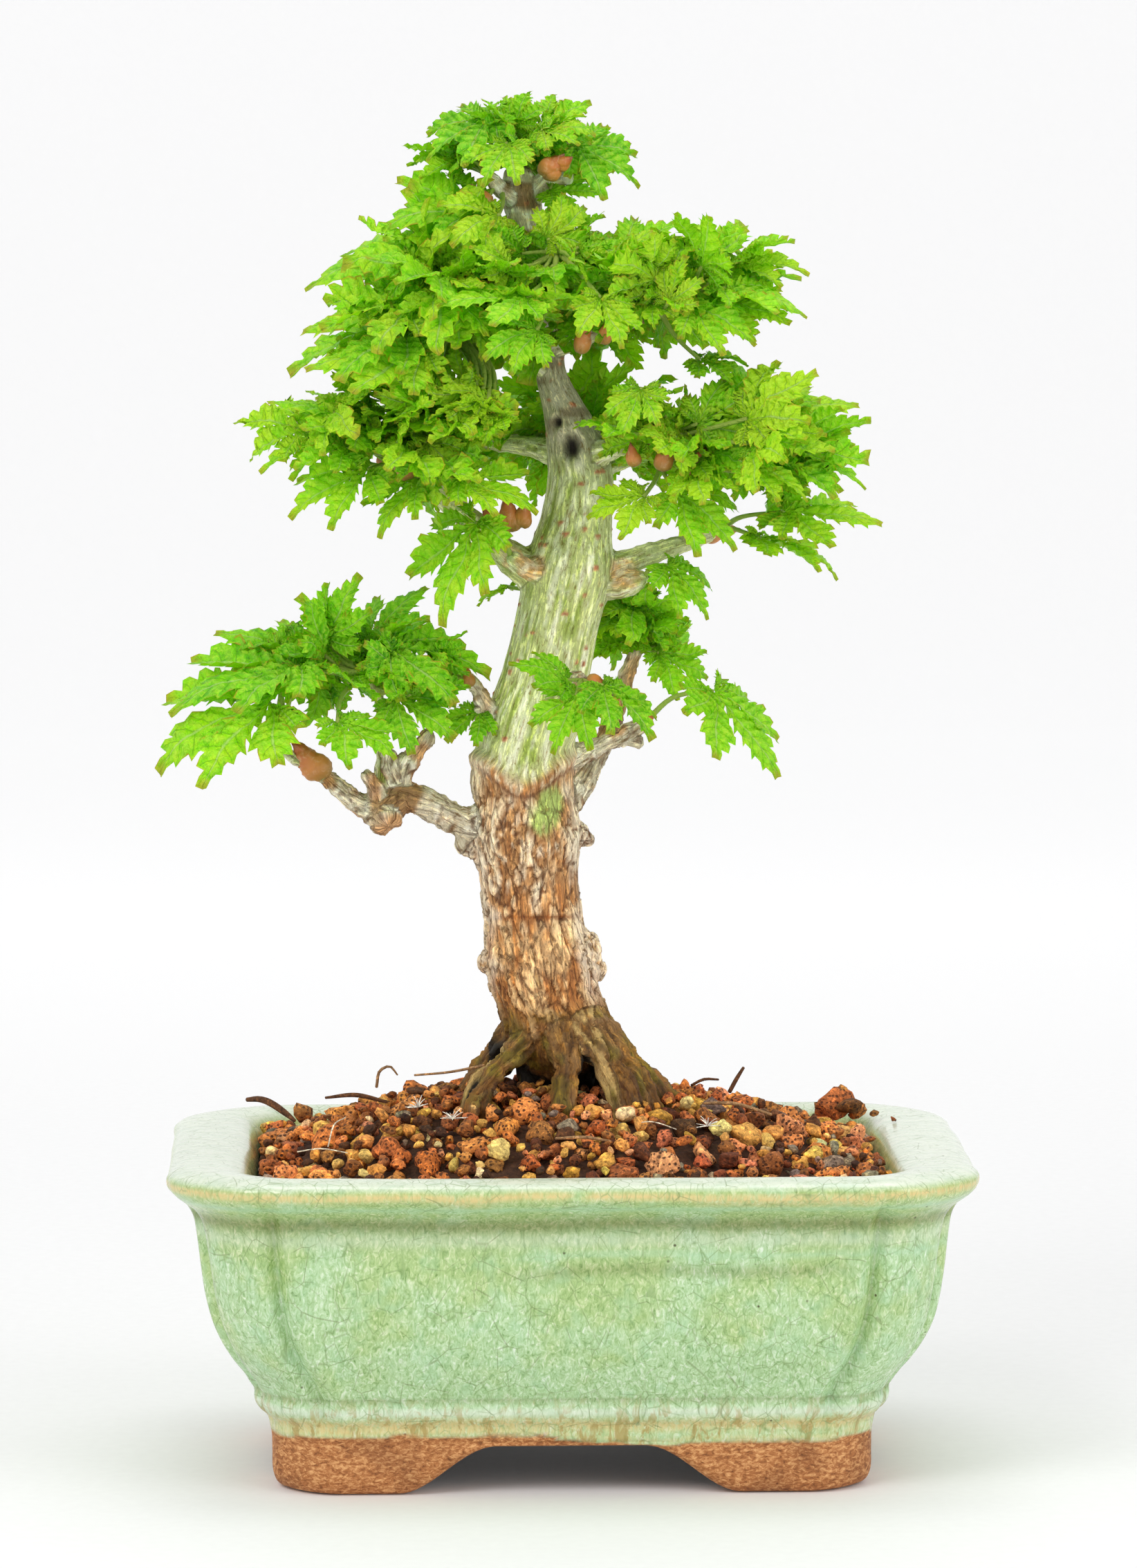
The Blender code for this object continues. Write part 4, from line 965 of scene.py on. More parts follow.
def bark_colours():
    """The bark's colour at each point, zone by zone up the tree."""
    x, y = tree_points[:, 0], tree_points[:, 1]
    front = smoothstep(2.0, -2.0, y)
    green = layered(
        (0.58, 0.62, 0.25),
        (smoothstep(0.05, 0.6, fibre), (0.92, 0.91, 0.66)),
        (smoothstep(-0.15, -0.7, fibre) * 0.9, (0.28, 0.37, 0.045)),
        (smoothstep(0.1, 0.6, fibre_fine) * 0.6, (0.86, 0.88, 0.62)),
        (smoothstep(-0.2, 0.6, broad) * 0.5, (0.56, 0.60, 0.30)),
    )
    slabs = smoothstep(124.6, 123.2, height + 0.5 * broad) * smoothstep(110, 114, height) * front
    girdle = hump(height - 124.8 + 0.6 * broad + 0.3 * fibre, 0.5) * front
    brown = layered(
        (0.60, 0.31, 0.115),
        (smoothstep(0.0, -0.7, flake) * 0.6, (0.36, 0.15, 0.045)),
        (plate * (0.55 + 0.4 * smoothstep(0.3, 0.7, flake)), (0.96, 0.76, 0.50)),
        (smoothstep(0.25, 0.7, flake_fine) * 0.65 * old, (0.98, 0.84, 0.62)),
        (smoothstep(0.15, 0.8, fibre) * 0.45, (0.92, 0.68, 0.40)),
        (smoothstep(-0.2, -0.8, fibre) * 0.6, (0.30, 0.10, 0.018)),
        (crack * 0.9, (0.13, 0.042, 0.008)),
        (crack_fine * 0.65, (0.21, 0.075, 0.016)),
        (slabs * smoothstep(-0.35, 0.15, flake) * 0.42, (0.98, 0.80, 0.54)),
        (girdle * 0.85, (0.26, 0.085, 0.014)),
    )
    warm = smoothstep(134, 118, height)[:, None]
    brown = brown * (1 - warm + warm * np.array((1.06, 0.88, 0.64)))
    blend_up = smoothstep(-1.2, 1.6, height - collar_z + 0.8 * flake_fine)[:, None]
    colour = brown * (1 - blend_up) + green * blend_up
    patch = np.exp(-(((x + 5.2) / 4.6) ** 2) - (((height - 149.0) / 6.5) ** 2)) * is_trunk
    seam = hump(height - collar_z + 1.9 + 0.5 * broad, 0.5) * is_trunk * front
    # Painted highlight: the lower trunk is lightened along its left and right sides.
    side = np.abs(x - np.interp(height, (95, 112, 150, 165), (-3, -6.2, -9.6, -9))) / 11.5
    light = smoothstep(0.72, 1.0, side + 0.2 * lumps(rolled, 4, 64)) * is_trunk
    light = light * smoothstep(170, 155, height) * smoothstep(100, 112, height)
    # Darker towards the bottom of the trunk and over the roots, with moss-green patches there.
    low_dark = smoothstep(110, 97, height + 4 * broad) * ~is_limb
    # Painted shade: near black in the hollow under the trunk, behind the front roots.
    deep = smoothstep(-4.5, -0.5, y) * smoothstep(97.5, 94, height) * (x > -18) * (x < 14) * (y < 6)
    pale_root = np.isin(limb, PALE_ROOTS)
    colour = layered(
        colour,
        (smoothstep(0.35, 0.8, patch + 0.35 * flake_fine) * (y < 0), (0.40, 0.50, 0.13)),
        (collar * 0.9, (0.42, 0.17, 0.05)),
        (collar * smoothstep(-0.1, 0.4, flake_fine + 0.5 * fibre_fine) * 0.9, (0.90, 0.72, 0.48)),
        (seam * 0.8, (0.20, 0.07, 0.02)),
        # Painted highlight along the trunk's left and right sides.
        (0.65 * light * (1 - crack), (0.88, 0.80, 0.64)),
        (low_dark * 0.90, (0.150, 0.066, 0.007)),
        (low_dark * smoothstep(-0.1, 0.6, lumps(tree_points, 3.0, 65)) * 0.7, (0.170, 0.135, 0.006)),
        (is_root * smoothstep(0.25, 0.8, fibre) * 0.5, (0.46, 0.22, 0.034)),
        # Painted shade in the hollow under the trunk.
        (deep, (0.012, 0.008, 0.003)),
        (pale_root * smoothstep(-0.1, 0.5, fibre) * 0.6, (0.62, 0.44, 0.17)),
        (is_root * smoothstep(-0.1, -0.8, fibre) * 0.6, (0.035, 0.018, 0.006)),
        # Painted shade: near black where the roots close round a point.
        (smoothstep(0.06, 0.40, root_shade), (0.012, 0.007, 0.002)),
    )
    twig = layered(
        (0.68, 0.60, 0.43),
        (smoothstep(0.0, 0.7, ring_b), (0.92, 0.86, 0.70)),
        (smoothstep(-0.1, -0.7, ring_a), (0.36, 0.20, 0.08)),
        (smoothstep(0.15, 0.6, lumps(tree_points, 5.0, 68)) * 0.8, (0.60, 0.28, 0.09)),
        (smoothstep(-0.25, -0.7, lumps(tree_points, 1.3, 66)) * 0.7, (0.17, 0.075, 0.025)),
    )
    shoot = np.isin(limb, GREEN_SHOOTS) * smoothstep(152, 156, height)
    fresh = np.maximum(smoothstep(190, 200, height), shoot)[:, None]
    twig = twig * (1 - fresh) + (green * 0.9 + twig * 0.1) * fresh
    colour = np.where(is_limb[:, None], twig, colour)
    crown = layered(
        (0.70, 0.58, 0.42),
        (smoothstep(0.0, 0.6, ring_b), (0.94, 0.88, 0.78)),
        (smoothstep(0.0, -0.6, ring_a), (0.30, 0.17, 0.08)),
    )
    top = smoothstep(240, 262, height)[:, None]
    aged = smoothstep(222, 232, height) * smoothstep(262, 246, height) * ~is_limb
    colour = layered(
        colour * (1 - top) + crown * top,
        (aged * 0.8, (0.46, 0.40, 0.29)),
        (aged * smoothstep(0.0, 0.6, ring_a) * 0.7, (0.20, 0.13, 0.07)),
        (wound * 0.75, (0.62, 0.30, 0.11)),
        (wound * smoothstep(-0.1, 0.4, lumps(tree_points, 1.0, 67)) * 0.85, (0.88, 0.74, 0.52)),
        (lenticel, (0.50, 0.19, 0.09)),
        (scar, (0.012, 0.007, 0.004)),
    )
    return np.clip(colour, 0.002, 0.95)


def bark_paint():
    paint = Paint("maple_bark")
    tint = paint.attribute("bark", "Color")
    grain = paint.attribute("grain", "Vector")
    cracked = paint.attribute("cracked")
    lengthwise = paint.node("ShaderNodeVectorMath", {"operation": "MULTIPLY"}, {0: grain, 1: (1.0, 1.0, 0.16)})
    strand = paint.noise(lengthwise, 0.75, 4.0, 0.7, 0.6)
    fine = paint.noise(paint.spot((1.0, 1.0, 0.5)), 0.7, 4.0, 0.72, 0.5)
    colour = paint.mix(paint.band(strand, 0.51, 0.64) * 0.9, tint, (1.9, 1.85, 1.7), "MULTIPLY")
    colour = paint.coats(
        colour,
        (paint.band(strand, 0.46, 0.33) * 0.9, (0.46, 0.34, 0.18), "MULTIPLY"),
        (paint.band(fine, 0.52, 0.70) * 0.7, (1.5, 1.46, 1.38), "MULTIPLY"),
        (paint.band(fine, 0.46, 0.32) * 0.7, (0.44, 0.38, 0.26), "MULTIPLY"),
    )
    blocky = paint.node("ShaderNodeVectorMath", {"operation": "MULTIPLY"}, {0: grain, 1: (1.0, 1.0, 0.25)})
    split = paint.band(paint.cells(blocky, 2.2, "DISTANCE_TO_EDGE"), 0.085, 0.015)
    split = split * cracked * paint.band(fine, 0.42, 0.58)
    colour = paint.mix(split * 0.7, colour, (0.15, 0.045, 0.008))
    height = strand * 0.7 + fine * 0.5 - split * 0.8
    rough = 0.62 + fine * 0.25
    return paint.finish({"Base Color": colour, "Roughness": rough, "Normal": paint.bump(height, 0.9, 0.5)})


tree = mesh_piece(
    "tree_wood", tree_points, tree_faces,
    {"cracked": old * smoothstep(98, 106, height)}, {"bark": bark_colours(), "grain": rolled},
)
bark = bark_paint()
tree.data.materials.append(bark)
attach(tree, "root")
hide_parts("tree")

# ---------------------------------------------------------------------------------------------------------------
# Litter on the soil. Dry twigs, bare root ends, pale hairs and three seed tufts that fell on the grit and stayed.
# ---------------------------------------------------------------------------------------------------------------


def litter():
    """Dry twigs and bare roots, then hairs and seed tufts, as thin tubes with a colour each."""
    rng = np.random.default_rng(5)
    dark, dry, pale = (0.12, 0.045, 0.014), (0.36, 0.20, 0.09), (0.80, 0.72, 0.56)
    runs = [
        ([(-73.0, 10, 81.0, 0.5), (-70, 8, 81.4, 0.75), (-64, 4, 78.6, 0.7), (-62, 2, 77.2, 0.4)], dark),
        ([(-55, 1, 82.6, 0.3), (-48, -2, 83.6, 0.55), (-41.1, -5, 82.4, 0.4)], dark),
        ([(-43.4, 8, 84.0, 0.35), (-42.4, 8, 88.0, 0.35), (-40.4, 8, 88.8, 0.3), (-38.6, 8, 86.8, 0.2)], dry),
        ([(-34.8, 0, 87.8, 0.25), (-27, -4, 89.0, 0.3), (-19.2, -8, 91.0, 0.35)], dry),
        ([(36.8, 0, 83.6, 0.5), (38.4, 0, 86.6, 0.5), (40.0, 0, 89.2, 0.35)], dark),
        ([(28.2, 2, 84.9, 0.3), (31, 1, 86.4, 0.35), (34.4, 2, 86.2, 0.25)], dark),
        ([(30, -14, 83, 0.3), (37, -18, 83.4, 0.45), (45, -20, 81.2, 0.3)], dry),
        ([(-4, -38, 78.6, 0.3), (3, -41, 79.2, 0.4), (8, -40, 78.2, 0.25)], dry),
        ([(-61, -40, 76.2, 0.14), (-56, -41, 77.0, 0.16), (-50, -40, 75.9, 0.12)], pale),
        ([(-54.3, -35, 76.6, 0.14), (-53, -28, 80.4, 0.16), (-50.4, -20, 81.0, 0.12)], pale),
        ([(14, -30, 80.8, 0.12), (18, -34, 81.6, 0.14), (23, -33, 79.8, 0.12)], pale),
    ]
    for x, y, z in ((-34.2, -20, 83.2), (-26.6, -26, 81.4), (30, -32, 80.4)):
        for _ in range(13):
            way = rng.normal(size=3)
            way = way / np.linalg.norm(way) * rng.uniform(2.4, 4.4)
            way[2] = abs(way[2]) * 0.7
            runs.append(([(x, y, z, 0.13), (x + way[0] * 0.5, y + way[1] * 0.5, z + way[2] * 0.65, 0.10),
                          (x + way[0], y + way[1], z + way[2], 0.06)], (0.95, 0.92, 0.84)))
    shapes = [swept(run, 7, 1.0) for run, _ in runs]
    tints = np.concatenate([np.tile(tint, (len(shape[0]), 1)) for shape, (_, tint) in zip(shapes, runs)])
    points, faces = merged(shapes)
    return mesh_piece("soil_litter", points, faces, {"pores": np.zeros(len(points))}, {"tint": tints})


fallen = litter()
fallen.data.materials.append(grit)
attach(fallen, "root")

# ---------------------------------------------------------------------------------------------------------------
# Buds. Chestnut-brown pointed buds in pairs of waxy scales, and the papery scales left at the foot of new shoots.
# ---------------------------------------------------------------------------------------------------------------
# Each bud's node, foot, tip and radius, then the foot, tip and radius of each old scale.
BUDS = [
    ("bud_lower_left", (-55.0, -6.3, 156.4), (-62.2, -8, 164.6), 3.1),
    ("bud_left_branch", (-39.4, -6.4, 225.4), (-42.5, -7.5, 231.5), 2.4),
    ("bud_right_branch", (30.4, 5.6, 210.2), (39.5, 7.5, 211.5), 2.3),
    ("bud_trunk_front", (4.3, -15.4, 178.6), (8.2, -20.5, 176.6), 2.0),
]
OLD_SCALES = [
    ((-12.4, -5, 212), (-14.6, -7, 219.6), 2.5), ((-14, -4, 211), (-19.4, -6, 216.6), 2.1),
    ((-10.6, -6, 212.6), (-9.6, -8, 219), 2.0), ((-30, -20, 224), (-32, -23, 232), 2.2),
    ((-36, -20, 224), (-39, -22, 231), 2.0), ((-26, -22, 225), (-24.5, -24, 232), 1.9),
    ((20, -22, 226), (22, -25, 232.6), 2.0), ((27, -20, 225), (30, -23, 231), 2.1),
    ((14, -24, 227), (13, -26, 232), 1.6), ((2, -20, 252), (4, -24, 259), 1.8),
    ((7, -22, 254), (9, -26, 260), 1.6), ((-24, -20, 262), (-30, -23, 264), 1.7),
    ((-18, -6, 284), (-22, -9, 289), 2.0), ((-5.5, -11, 291.0), (-1.4, -13.5, 295.6), 2.6),
    ((-2.4, -12, 293), (0.6, -15, 295), 1.6), ((-22, -6, 176.8), (-23.6, -7, 182), 1.3),
    ((16, 2, 167), (20, 2, 169.6), 1.4), ((-36, -4, 163.6), (-34.6, -4.4, 168), 1.3),
]


def scaled_bud(base, tip, radius, salt):
    """Two scales wrapped round a pointed core, each split a little from the other."""
    a, b = np.array(base, float), np.array(tip, float)
    axis = b - a
    side = np.cross(axis, (0.2, 1.0, 0.3))
    side = side / np.linalg.norm(side) * radius
    shapes = []
    for shift, reach, fat in ((0.0, 1.0, 0.8), (0.30, 0.86, 0.78), (-0.30, 0.70, 0.80)):
        run = []
        for t, s in ((0.0, 0.55), (0.15, 0.9), (0.4, 1.0), (0.65, 0.78), (0.85, 0.42), (1.0, 0.10)):
            spot = a + axis * t * reach + side * shift * math.sin(math.pi * min(1, t + 0.2))
            run.append((*spot, radius * s * fat))
        points, faces = swept(run, 18, 0.5)
        points = points + 0.10 * radius * lumps(points, 0.9, salt)[:, None]
        shapes.append((points, faces))
    points, faces = merged(shapes)
    share = np.clip((points - a) @ axis / (axis @ axis), 0, 1)
    return points, faces, share


def bud_paint():
    paint = Paint("bud_scales")
    at = paint.spot()
    streak = paint.noise(at, 1.2, 3.0, 0.6, 0.4)
    up = paint.attribute("share")
    colour = paint.ramp(
        up, (0.0, (0.34, 0.20, 0.050)), (0.35, (0.66, 0.24, 0.055)),
        (0.8, (0.52, 0.13, 0.034)), (1.0, (0.13, 0.030, 0.012)),
    )
    colour = paint.mix(paint.band(streak, 0.5, 0.75) * 0.55, colour, (0.72, 0.42, 0.22))
    rough = 0.34 + streak * 0.2
    return paint.finish({"Base Color": colour, "Roughness": rough, "Normal": paint.bump(streak, 0.5, 0.25)})


waxy = bud_paint()
for number, (name, base, tip, radius) in enumerate(BUDS):
    points, faces, share = scaled_bud(base, tip, radius, 80 + number)
    bud = mesh_piece(name + "_scales", points, faces, {"share": share})
    bud.data.materials.append(waxy)
    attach(bud, "root")
    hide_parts(name)
old = [scaled_bud(base, tip, radius, 90 + number) for number, (base, tip, radius) in enumerate(OLD_SCALES)]
points, faces = merged([(p, f) for p, f, _ in old])
papery = mesh_piece("old_bud_scales", points, faces, {"share": np.concatenate([s for _, _, s in old])})
papery.data.materials.append(waxy)
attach(papery, "root")

# ---------------------------------------------------------------------------------------------------------------
# Leaves. Soft new maple leaves with seven folded, toothed and crinkled lobes on thin stalks, bright green with
# pale veins and an orange-brown edge. The long ones hang round the outside and small crumpled ones fill the tiers.
# ---------------------------------------------------------------------------------------------------------------
# Large leaves by tier: where stalk and blade meet, the tip of the middle lobe, and the way the upper side faces.
LEAVES = [
    ("top", [
        ((-18, -7, 304), (-34, -12, 297), "up"), ((-16, -2, 303), (-19, 10, 310), "front"),
        ((-6, -12, 301), (6, -16, 303), "front"), ((2, -4, 298), (18, -8, 291), "up"),
        ((-20, -8, 285), (-42, -14, 284), "front"), ((-23, -2, 294), (-36, 0, 296), "front"),
        ((-4, -4, 288), (7, -6, 287), "up"), ((-14, -16, 298), (-21, -24, 290), "front"),
        ((-8, 10, 306), (-2, 24, 309), "up"), ((-15, 14, 301), (-24, 30, 299), "up"),
        ((-4, 14, 297), (4, 30, 294), "up"),
    ]),
    ("mid", [
        ((-18, -10, 267), (-48, -16, 276), "front"), ((-34, -4, 274), (-59, -8, 270), "up"),
        ((-36, -20, 256), (-65, -24, 254), "up"), ((-33, -6, 261), (-59, 6, 258), "up"),
        ((-33, -26, 252), (-58, -30, 250), "up"), ((-16, -16, 282), (-27, -28, 279), "up"),
        ((-5, -18, 277), (6, -14, 284), "front"), ((12, -14, 272), (24, -8, 284), "front"),
        ((28, -4, 275), (40, 4, 278), "up"), ((36, -10, 271), (54, -14, 272), "up"),
        ((34, -24, 266), (52, -28, 263), "up"), ((26, -28, 262), (42, -34, 257), "up"),
        ((21, -32, 263), (24, -34, 274), "front"), ((6, -34, 264), (10, -42, 254), "front"),
        ((-10, -32, 264), (-29, -38, 263), "front"), ((-8, -36, 257), (-21, -42, 254), "front"),
        ((15, -30, 244), (11, -36, 234), "front"), ((29, -14, 250), (42, -18, 248), "up"),
        ((-20, 16, 268), (-36, 40, 270), "up"), ((5, 18, 271), (24, 42, 272), "up"),
        ((-7, 20, 276), (-8, 46, 280), "up"),
    ]),
    ("low", [
        ((-45, -18, 235), (-66, -22, 242), "front"), ((-50, -6, 232), (-71, -8, 228), "up"),
        ((-45, -22, 226), (-64, -26, 217), "front"), ((-34, -20, 224), (-45, -26, 214), "up"),
        ((-33, -30, 240), (-41, -34, 250), "front"), ((-24, -28, 224), (-7, -32, 221), "front"),
        ((-28, -22, 238), (-13, -26, 244), "up"), ((-21, -18, 214), (-33, -22, 194), "up"),
        ((16, -26, 220), (3, -30, 216), "front"), ((23, -22, 221), (39, -28, 211), "front"),
        ((11, -30, 234), (1, -36, 238), "front"), ((28, -22, 236), (42, -22, 244), "front"),
        ((44, -8, 237), (64, -8, 241), "up"), ((46, -16, 229), (68, -20, 227), "up"),
        ((39, -26, 227), (54, -32, 223), "front"), ((48, -10, 216), (69, -14, 214), "up"),
        ((43, -8, 210), (63, -10, 205), "up"), ((22, -8, 204), (34, -12, 194), "up"),
        ((-13, 12, 198), (-19, 20, 196), "up"), ((-28, 14, 231), (-40, 40, 232), "up"),
        ((29, 16, 231), (46, 42, 228), "up"), ((0, 22, 237), (1, 50, 238), "up"),
    ]),
    ("left", [
        ((-55, -8, 182), (-78, -4, 190), "up"), ((-61, -16, 182), (-90, -22, 179), "up"),
        ((-67, -20, 174), (-96, -26, 166), "up"), ((-45, -2, 187), (-33, 2, 199), "front"),
        ((-41, -12, 186), (-15, -12, 184), "up"), ((-39, -14, 175), (-25, -20, 167), "front"),
        ((-52, -24, 170), (-39, -32, 164), "front"), ((-41, 8, 180), (-28, 26, 181), "up"),
        ((-55, 8, 179), (-69, 28, 180), "up"),
    ]),
    ("front", [
        ((-1, -20, 179), (-12, -26, 184), "front"), ((7, -22, 178), (20, -30, 169), "front"),
        ((1, -24, 176), (-6, -30, 164), "front"),
    ]),
    ("right", [
        ((21, 10, 183), (33, 8, 177), "front"), ((10, 14, 193), (14, 14, 178), "front"),
        ((22, 16, 185), (18, 24, 195), "front"), ((33, 0, 175), (47, -6, 157), "up"),
    ]),
    ("front", [((-20, -6, 171), (-28, -12, 166), "up")]),
]
# Bunches of small leaves: tier, middle, half sizes, how many, and smallest and largest leaf.
BUNCHES = [
    ("top", (-11, 1, 296), (19, 15, 10), 34, 8, 14),
    ("mid", (-26, -14, 264), (26, 22, 13), 42, 10, 21),
    ("mid", (22, -16, 265), (26, 22, 12), 42, 9, 18),
    ("mid", (-4, -18, 272), (20, 18, 7), 20, 9, 15),
    ("low", (-40, -16, 234), (24, 20, 13), 38, 10, 19),
    ("low", (30, -16, 231), (28, 22, 13), 40, 10, 19),
    ("low", (-14, -26, 240), (14, 10, 10), 12, 9, 15),
    ("mid", (-4, 16, 262), (34, 22, 14), 24, 14, 24),
    ("low", (2, 26, 232), (36, 20, 12), 24, 14, 24),
    ("left", (-52, -6, 182), (22, 18, 8), 22, 10, 18),
    ("left", (-36, -10, 178), (12, 10, 9), 10, 7, 12),
    ("right", (18, 13, 190), (12, 9, 11), 12, 10, 18),
]
# A leaf's lobes: degrees off the middle one, and length. Then the teeth on each side of a lobe.
LOBES = ((-114, 0.34), (-76, 0.56), (-38, 0.82), (0, 1.0), (38, 0.82), (76, 0.56), (114, 0.34))
TEETH = 7
CRUMPLES = 22
CROWN_TOP = 309
STALK_FROM, STALK_REACH = 150, 34


def blade(rng, crumple, columns):
    """A leaf one unit long: the middle lobe along +x, upper side +z, with each point's place on its lobe."""
    rows = TEETH * 3 + 1
    t = np.linspace(0.0, 1.0, rows + 1)
    v = np.linspace(-1, 1, columns + 1)
    width = np.interp(t, (0, 0.2, 0.35, 0.5, 0.65, 0.8, 0.92, 1), (0.6, 0.82, 0.98, 1, 0.84, 0.52, 0.22, 0.02))
    saw = np.concatenate([[0], np.tile([0.0, 0.55, 1.0], TEETH)])
    saw = np.append(saw, 0.0)[: rows + 1] * (t > 0.3) * (t < 0.99)
    points, faces, reach, across, phase = [], [], [], [], []
    droop = rng.uniform(-0.10, 0.12) + 0.12 * crumple
    fold = rng.uniform(0.25, 0.55) + 0.25 * crumple
    hook = rng.uniform(-0.5, 0.5)
    for angle, length in LOBES:
        length *= rng.uniform(0.9, 1.08)
        swing = math.radians(angle + rng.uniform(-7, 7))
        r = 0.015 + (length - 0.015) * t
        half = np.minimum(r * 0.37, 0.23 * (0.5 + 0.5 * length) * width * rng.uniform(0.88, 1.12))
        half = half + (saw - 0.35) * 0.075 * (t > 0.3) * (1 - 0.5 * t) * (t < 0.99)
        along = r[:, None] + saw[:, None] * (np.abs(v) ** 3)[None, :] * 0.055
        side = half[:, None] * v[None, :] + hook * 0.22 * (np.maximum(t - 0.45, 0) ** 2)[:, None]
        lateral = t[:, None] * TEETH - 0.9 * np.abs(v)[None, :]
        pucker = np.abs(np.sin(math.pi * lateral)) - 0.5
        lift = fold * np.abs(v)[None, :] * half[:, None] * (1 - 0.5 * t[:, None])
        ridges = (0.050 + 0.075 * crumple) * pucker * (0.3 + np.abs(v))[None, :]
        lift = lift + ridges * np.minimum(1, 4 * t)[:, None] * (1 - t)[:, None] ** 0.4
        sag = droop * (1.0 + 0.5 * abs(math.sin(swing))) * along**2
        sag = sag + rng.uniform(0.05, 0.22) * t[:, None] ** 4 * length
        curl = rng.uniform(-0.10, 0.22) * np.abs(v)[None, :] ** 2 * half[:, None] * 3.0 * t[:, None]
        z = lift - sag - curl
        x = along * math.cos(swing) - side * math.sin(swing)
        y = along * math.sin(swing) + side * math.cos(swing)
        start = len(points) * (rows + 1) * (columns + 1)
        points.append(np.stack([x, y, z], -1).reshape(-1, 3))
        reach.append(np.broadcast_to(t[:, None], x.shape).ravel())
        across.append(np.broadcast_to(np.abs(v)[None, :], x.shape).ravel())
        phase.append((lateral + 8).ravel())
        wide = columns + 1
        for i in range(rows):
            for j in range(columns):
                a = start + i * wide + j
                faces.append((a, a + wide, a + wide + 1, a + 1))
    shape = np.concatenate(points)
    salt = int(rng.integers(1000))
    ripple = np.stack(
        [lumps(shape, 0.30, salt + k) + 0.6 * crumple * lumps(shape, 0.15, salt + k + 3) for k in range(3)], 1
    )
    shape = shape + ripple * (0.024 + 0.070 * crumple) * np.minimum(1, 3 * np.concatenate(reach))[:, None]
    return shape, faces, np.concatenate(reach), np.concatenate(across), np.concatenate(phase)


def leaf_axes(joint, tip, facing, rng, loose):
    """The leaf's own x, y and z as rows: towards its tip, across it, and out of its upper side."""
    along = (tip - joint) / np.linalg.norm(tip - joint)
    toward = np.array((0.0, -0.36, 0.93)) if facing == "up" else np.array((0.0, -0.66, 0.75))
    toward = toward + np.array((0.30 * along[0], 0.25 * along[1], 0.0)) + rng.normal(size=3) * loose
    upward = toward - along * (toward @ along)
    upward /= np.linalg.norm(upward)
    return np.stack([along, np.cross(upward, along), upward])


TWIGS = np.concatenate([smooth_rows(run, 2.0, 4) for n, run in enumerate(LIMBS) if n == 0 or n > ROOTS])


def stalk(joint, along, rng):
    """A thin stalk from the leaf back to the nearest wood."""
    above = TWIGS[TWIGS[:, 2] > STALK_FROM]
    spot = above[np.argmin(np.linalg.norm(above[:, :3] - joint, axis=1) - above[:, 3])]
    reach = np.linalg.norm(spot[:3] - joint)
    if reach > STALK_REACH:
        return None
    middle = (joint + spot[:3]) / 2 - along * 0.12 * reach + rng.normal(size=3) * 0.04 * reach
    thick = 0.42 + 0.008 * reach
    return swept([(*spot[:3], thick * 1.3), (*middle, thick), (*joint, thick * 0.85)], 6, 1.6, False)


def leaf_plan(rng):
    """Every leaf as tier, joint, tip, facing, how crumpled it is and how loosely it hangs."""
    for tier, leaves in LEAVES:
        for joint, tip, facing in leaves:
            yield tier, np.array(joint, float), np.array(tip, float), facing, 0.30, 0.24
    trunk = np.array(LIMBS[0], float)
    for tier, middle, half, count, small, large in BUNCHES:
        done = 0
        while done < count:
            way = rng.normal(size=3)
            way /= np.linalg.norm(way)
            if way[2] < -0.75:
                continue
            joint = np.array(middle) + way * np.array(half) * rng.uniform(0.25, 0.8)
            axis = np.interp(joint[2], trunk[:, 2], trunk[:, 0])
            if joint[1] < 2 and joint[2] < 246 and abs(joint[0] - axis) < 15:
                continue
            if joint[1] < 6 and 276 < joint[2] < 298 and abs(joint[0] - axis - 2) < 11:
                continue
            out = way * (1.0, 0.9, 0.35) + rng.normal(size=3) * 0.35
            out[2] += 0.02
            out /= np.linalg.norm(out)
            size = rng.uniform(small, large)
            facing = "front" if rng.random() < 0.30 and joint[1] < 6 else "up"
            yield tier + "_small", joint, joint + out * size, facing, rng.uniform(0.3, 1.0), 0.55
            done += 1


def open_to_sky(points):
    """How much light reaches each point through the leaves round it, from 0 deep inside to 1 outside."""
    low = points.min(0) - 60
    size = 4.0
    cells = np.ceil((points.max(0) + 60 - low) / size).astype(int)
    filled = np.zeros(cells)
    np.add.at(filled, tuple(((points - low) / size).astype(int).T), 1.0)
    filled = np.minimum(filled / 60.0, 1.0)
    ways = np.array([
        (0, -0.5, 0.86), (-0.6, -0.5, 0.6), (0.6, -0.5, 0.6), (0, -0.95, 0.3),
        (-0.9, -0.2, 0.35), (0.9, -0.2, 0.35), (0, 0.4, 0.9),
    ])
    light = np.zeros(len(points))
    for way in ways:
        stopped = np.zeros(len(points))
        for step in range(2, 8):
            stopped += filled[tuple(((points + way * size * step - low) / size).astype(int).T)]
        light += np.exp(-0.85 * stopped)
    return light / len(ways)


# How much brighter and yellower each tier's leaves are painted than the middle of the range: painted light on the mid
# and low tiers, and darker on the left and front tiers.
TIER_PAINTED_LIGHT = {"top": 0.10, "mid": 0.55, "low": 0.65, "left": -0.10, "front": -0.25, "right": 0.10}


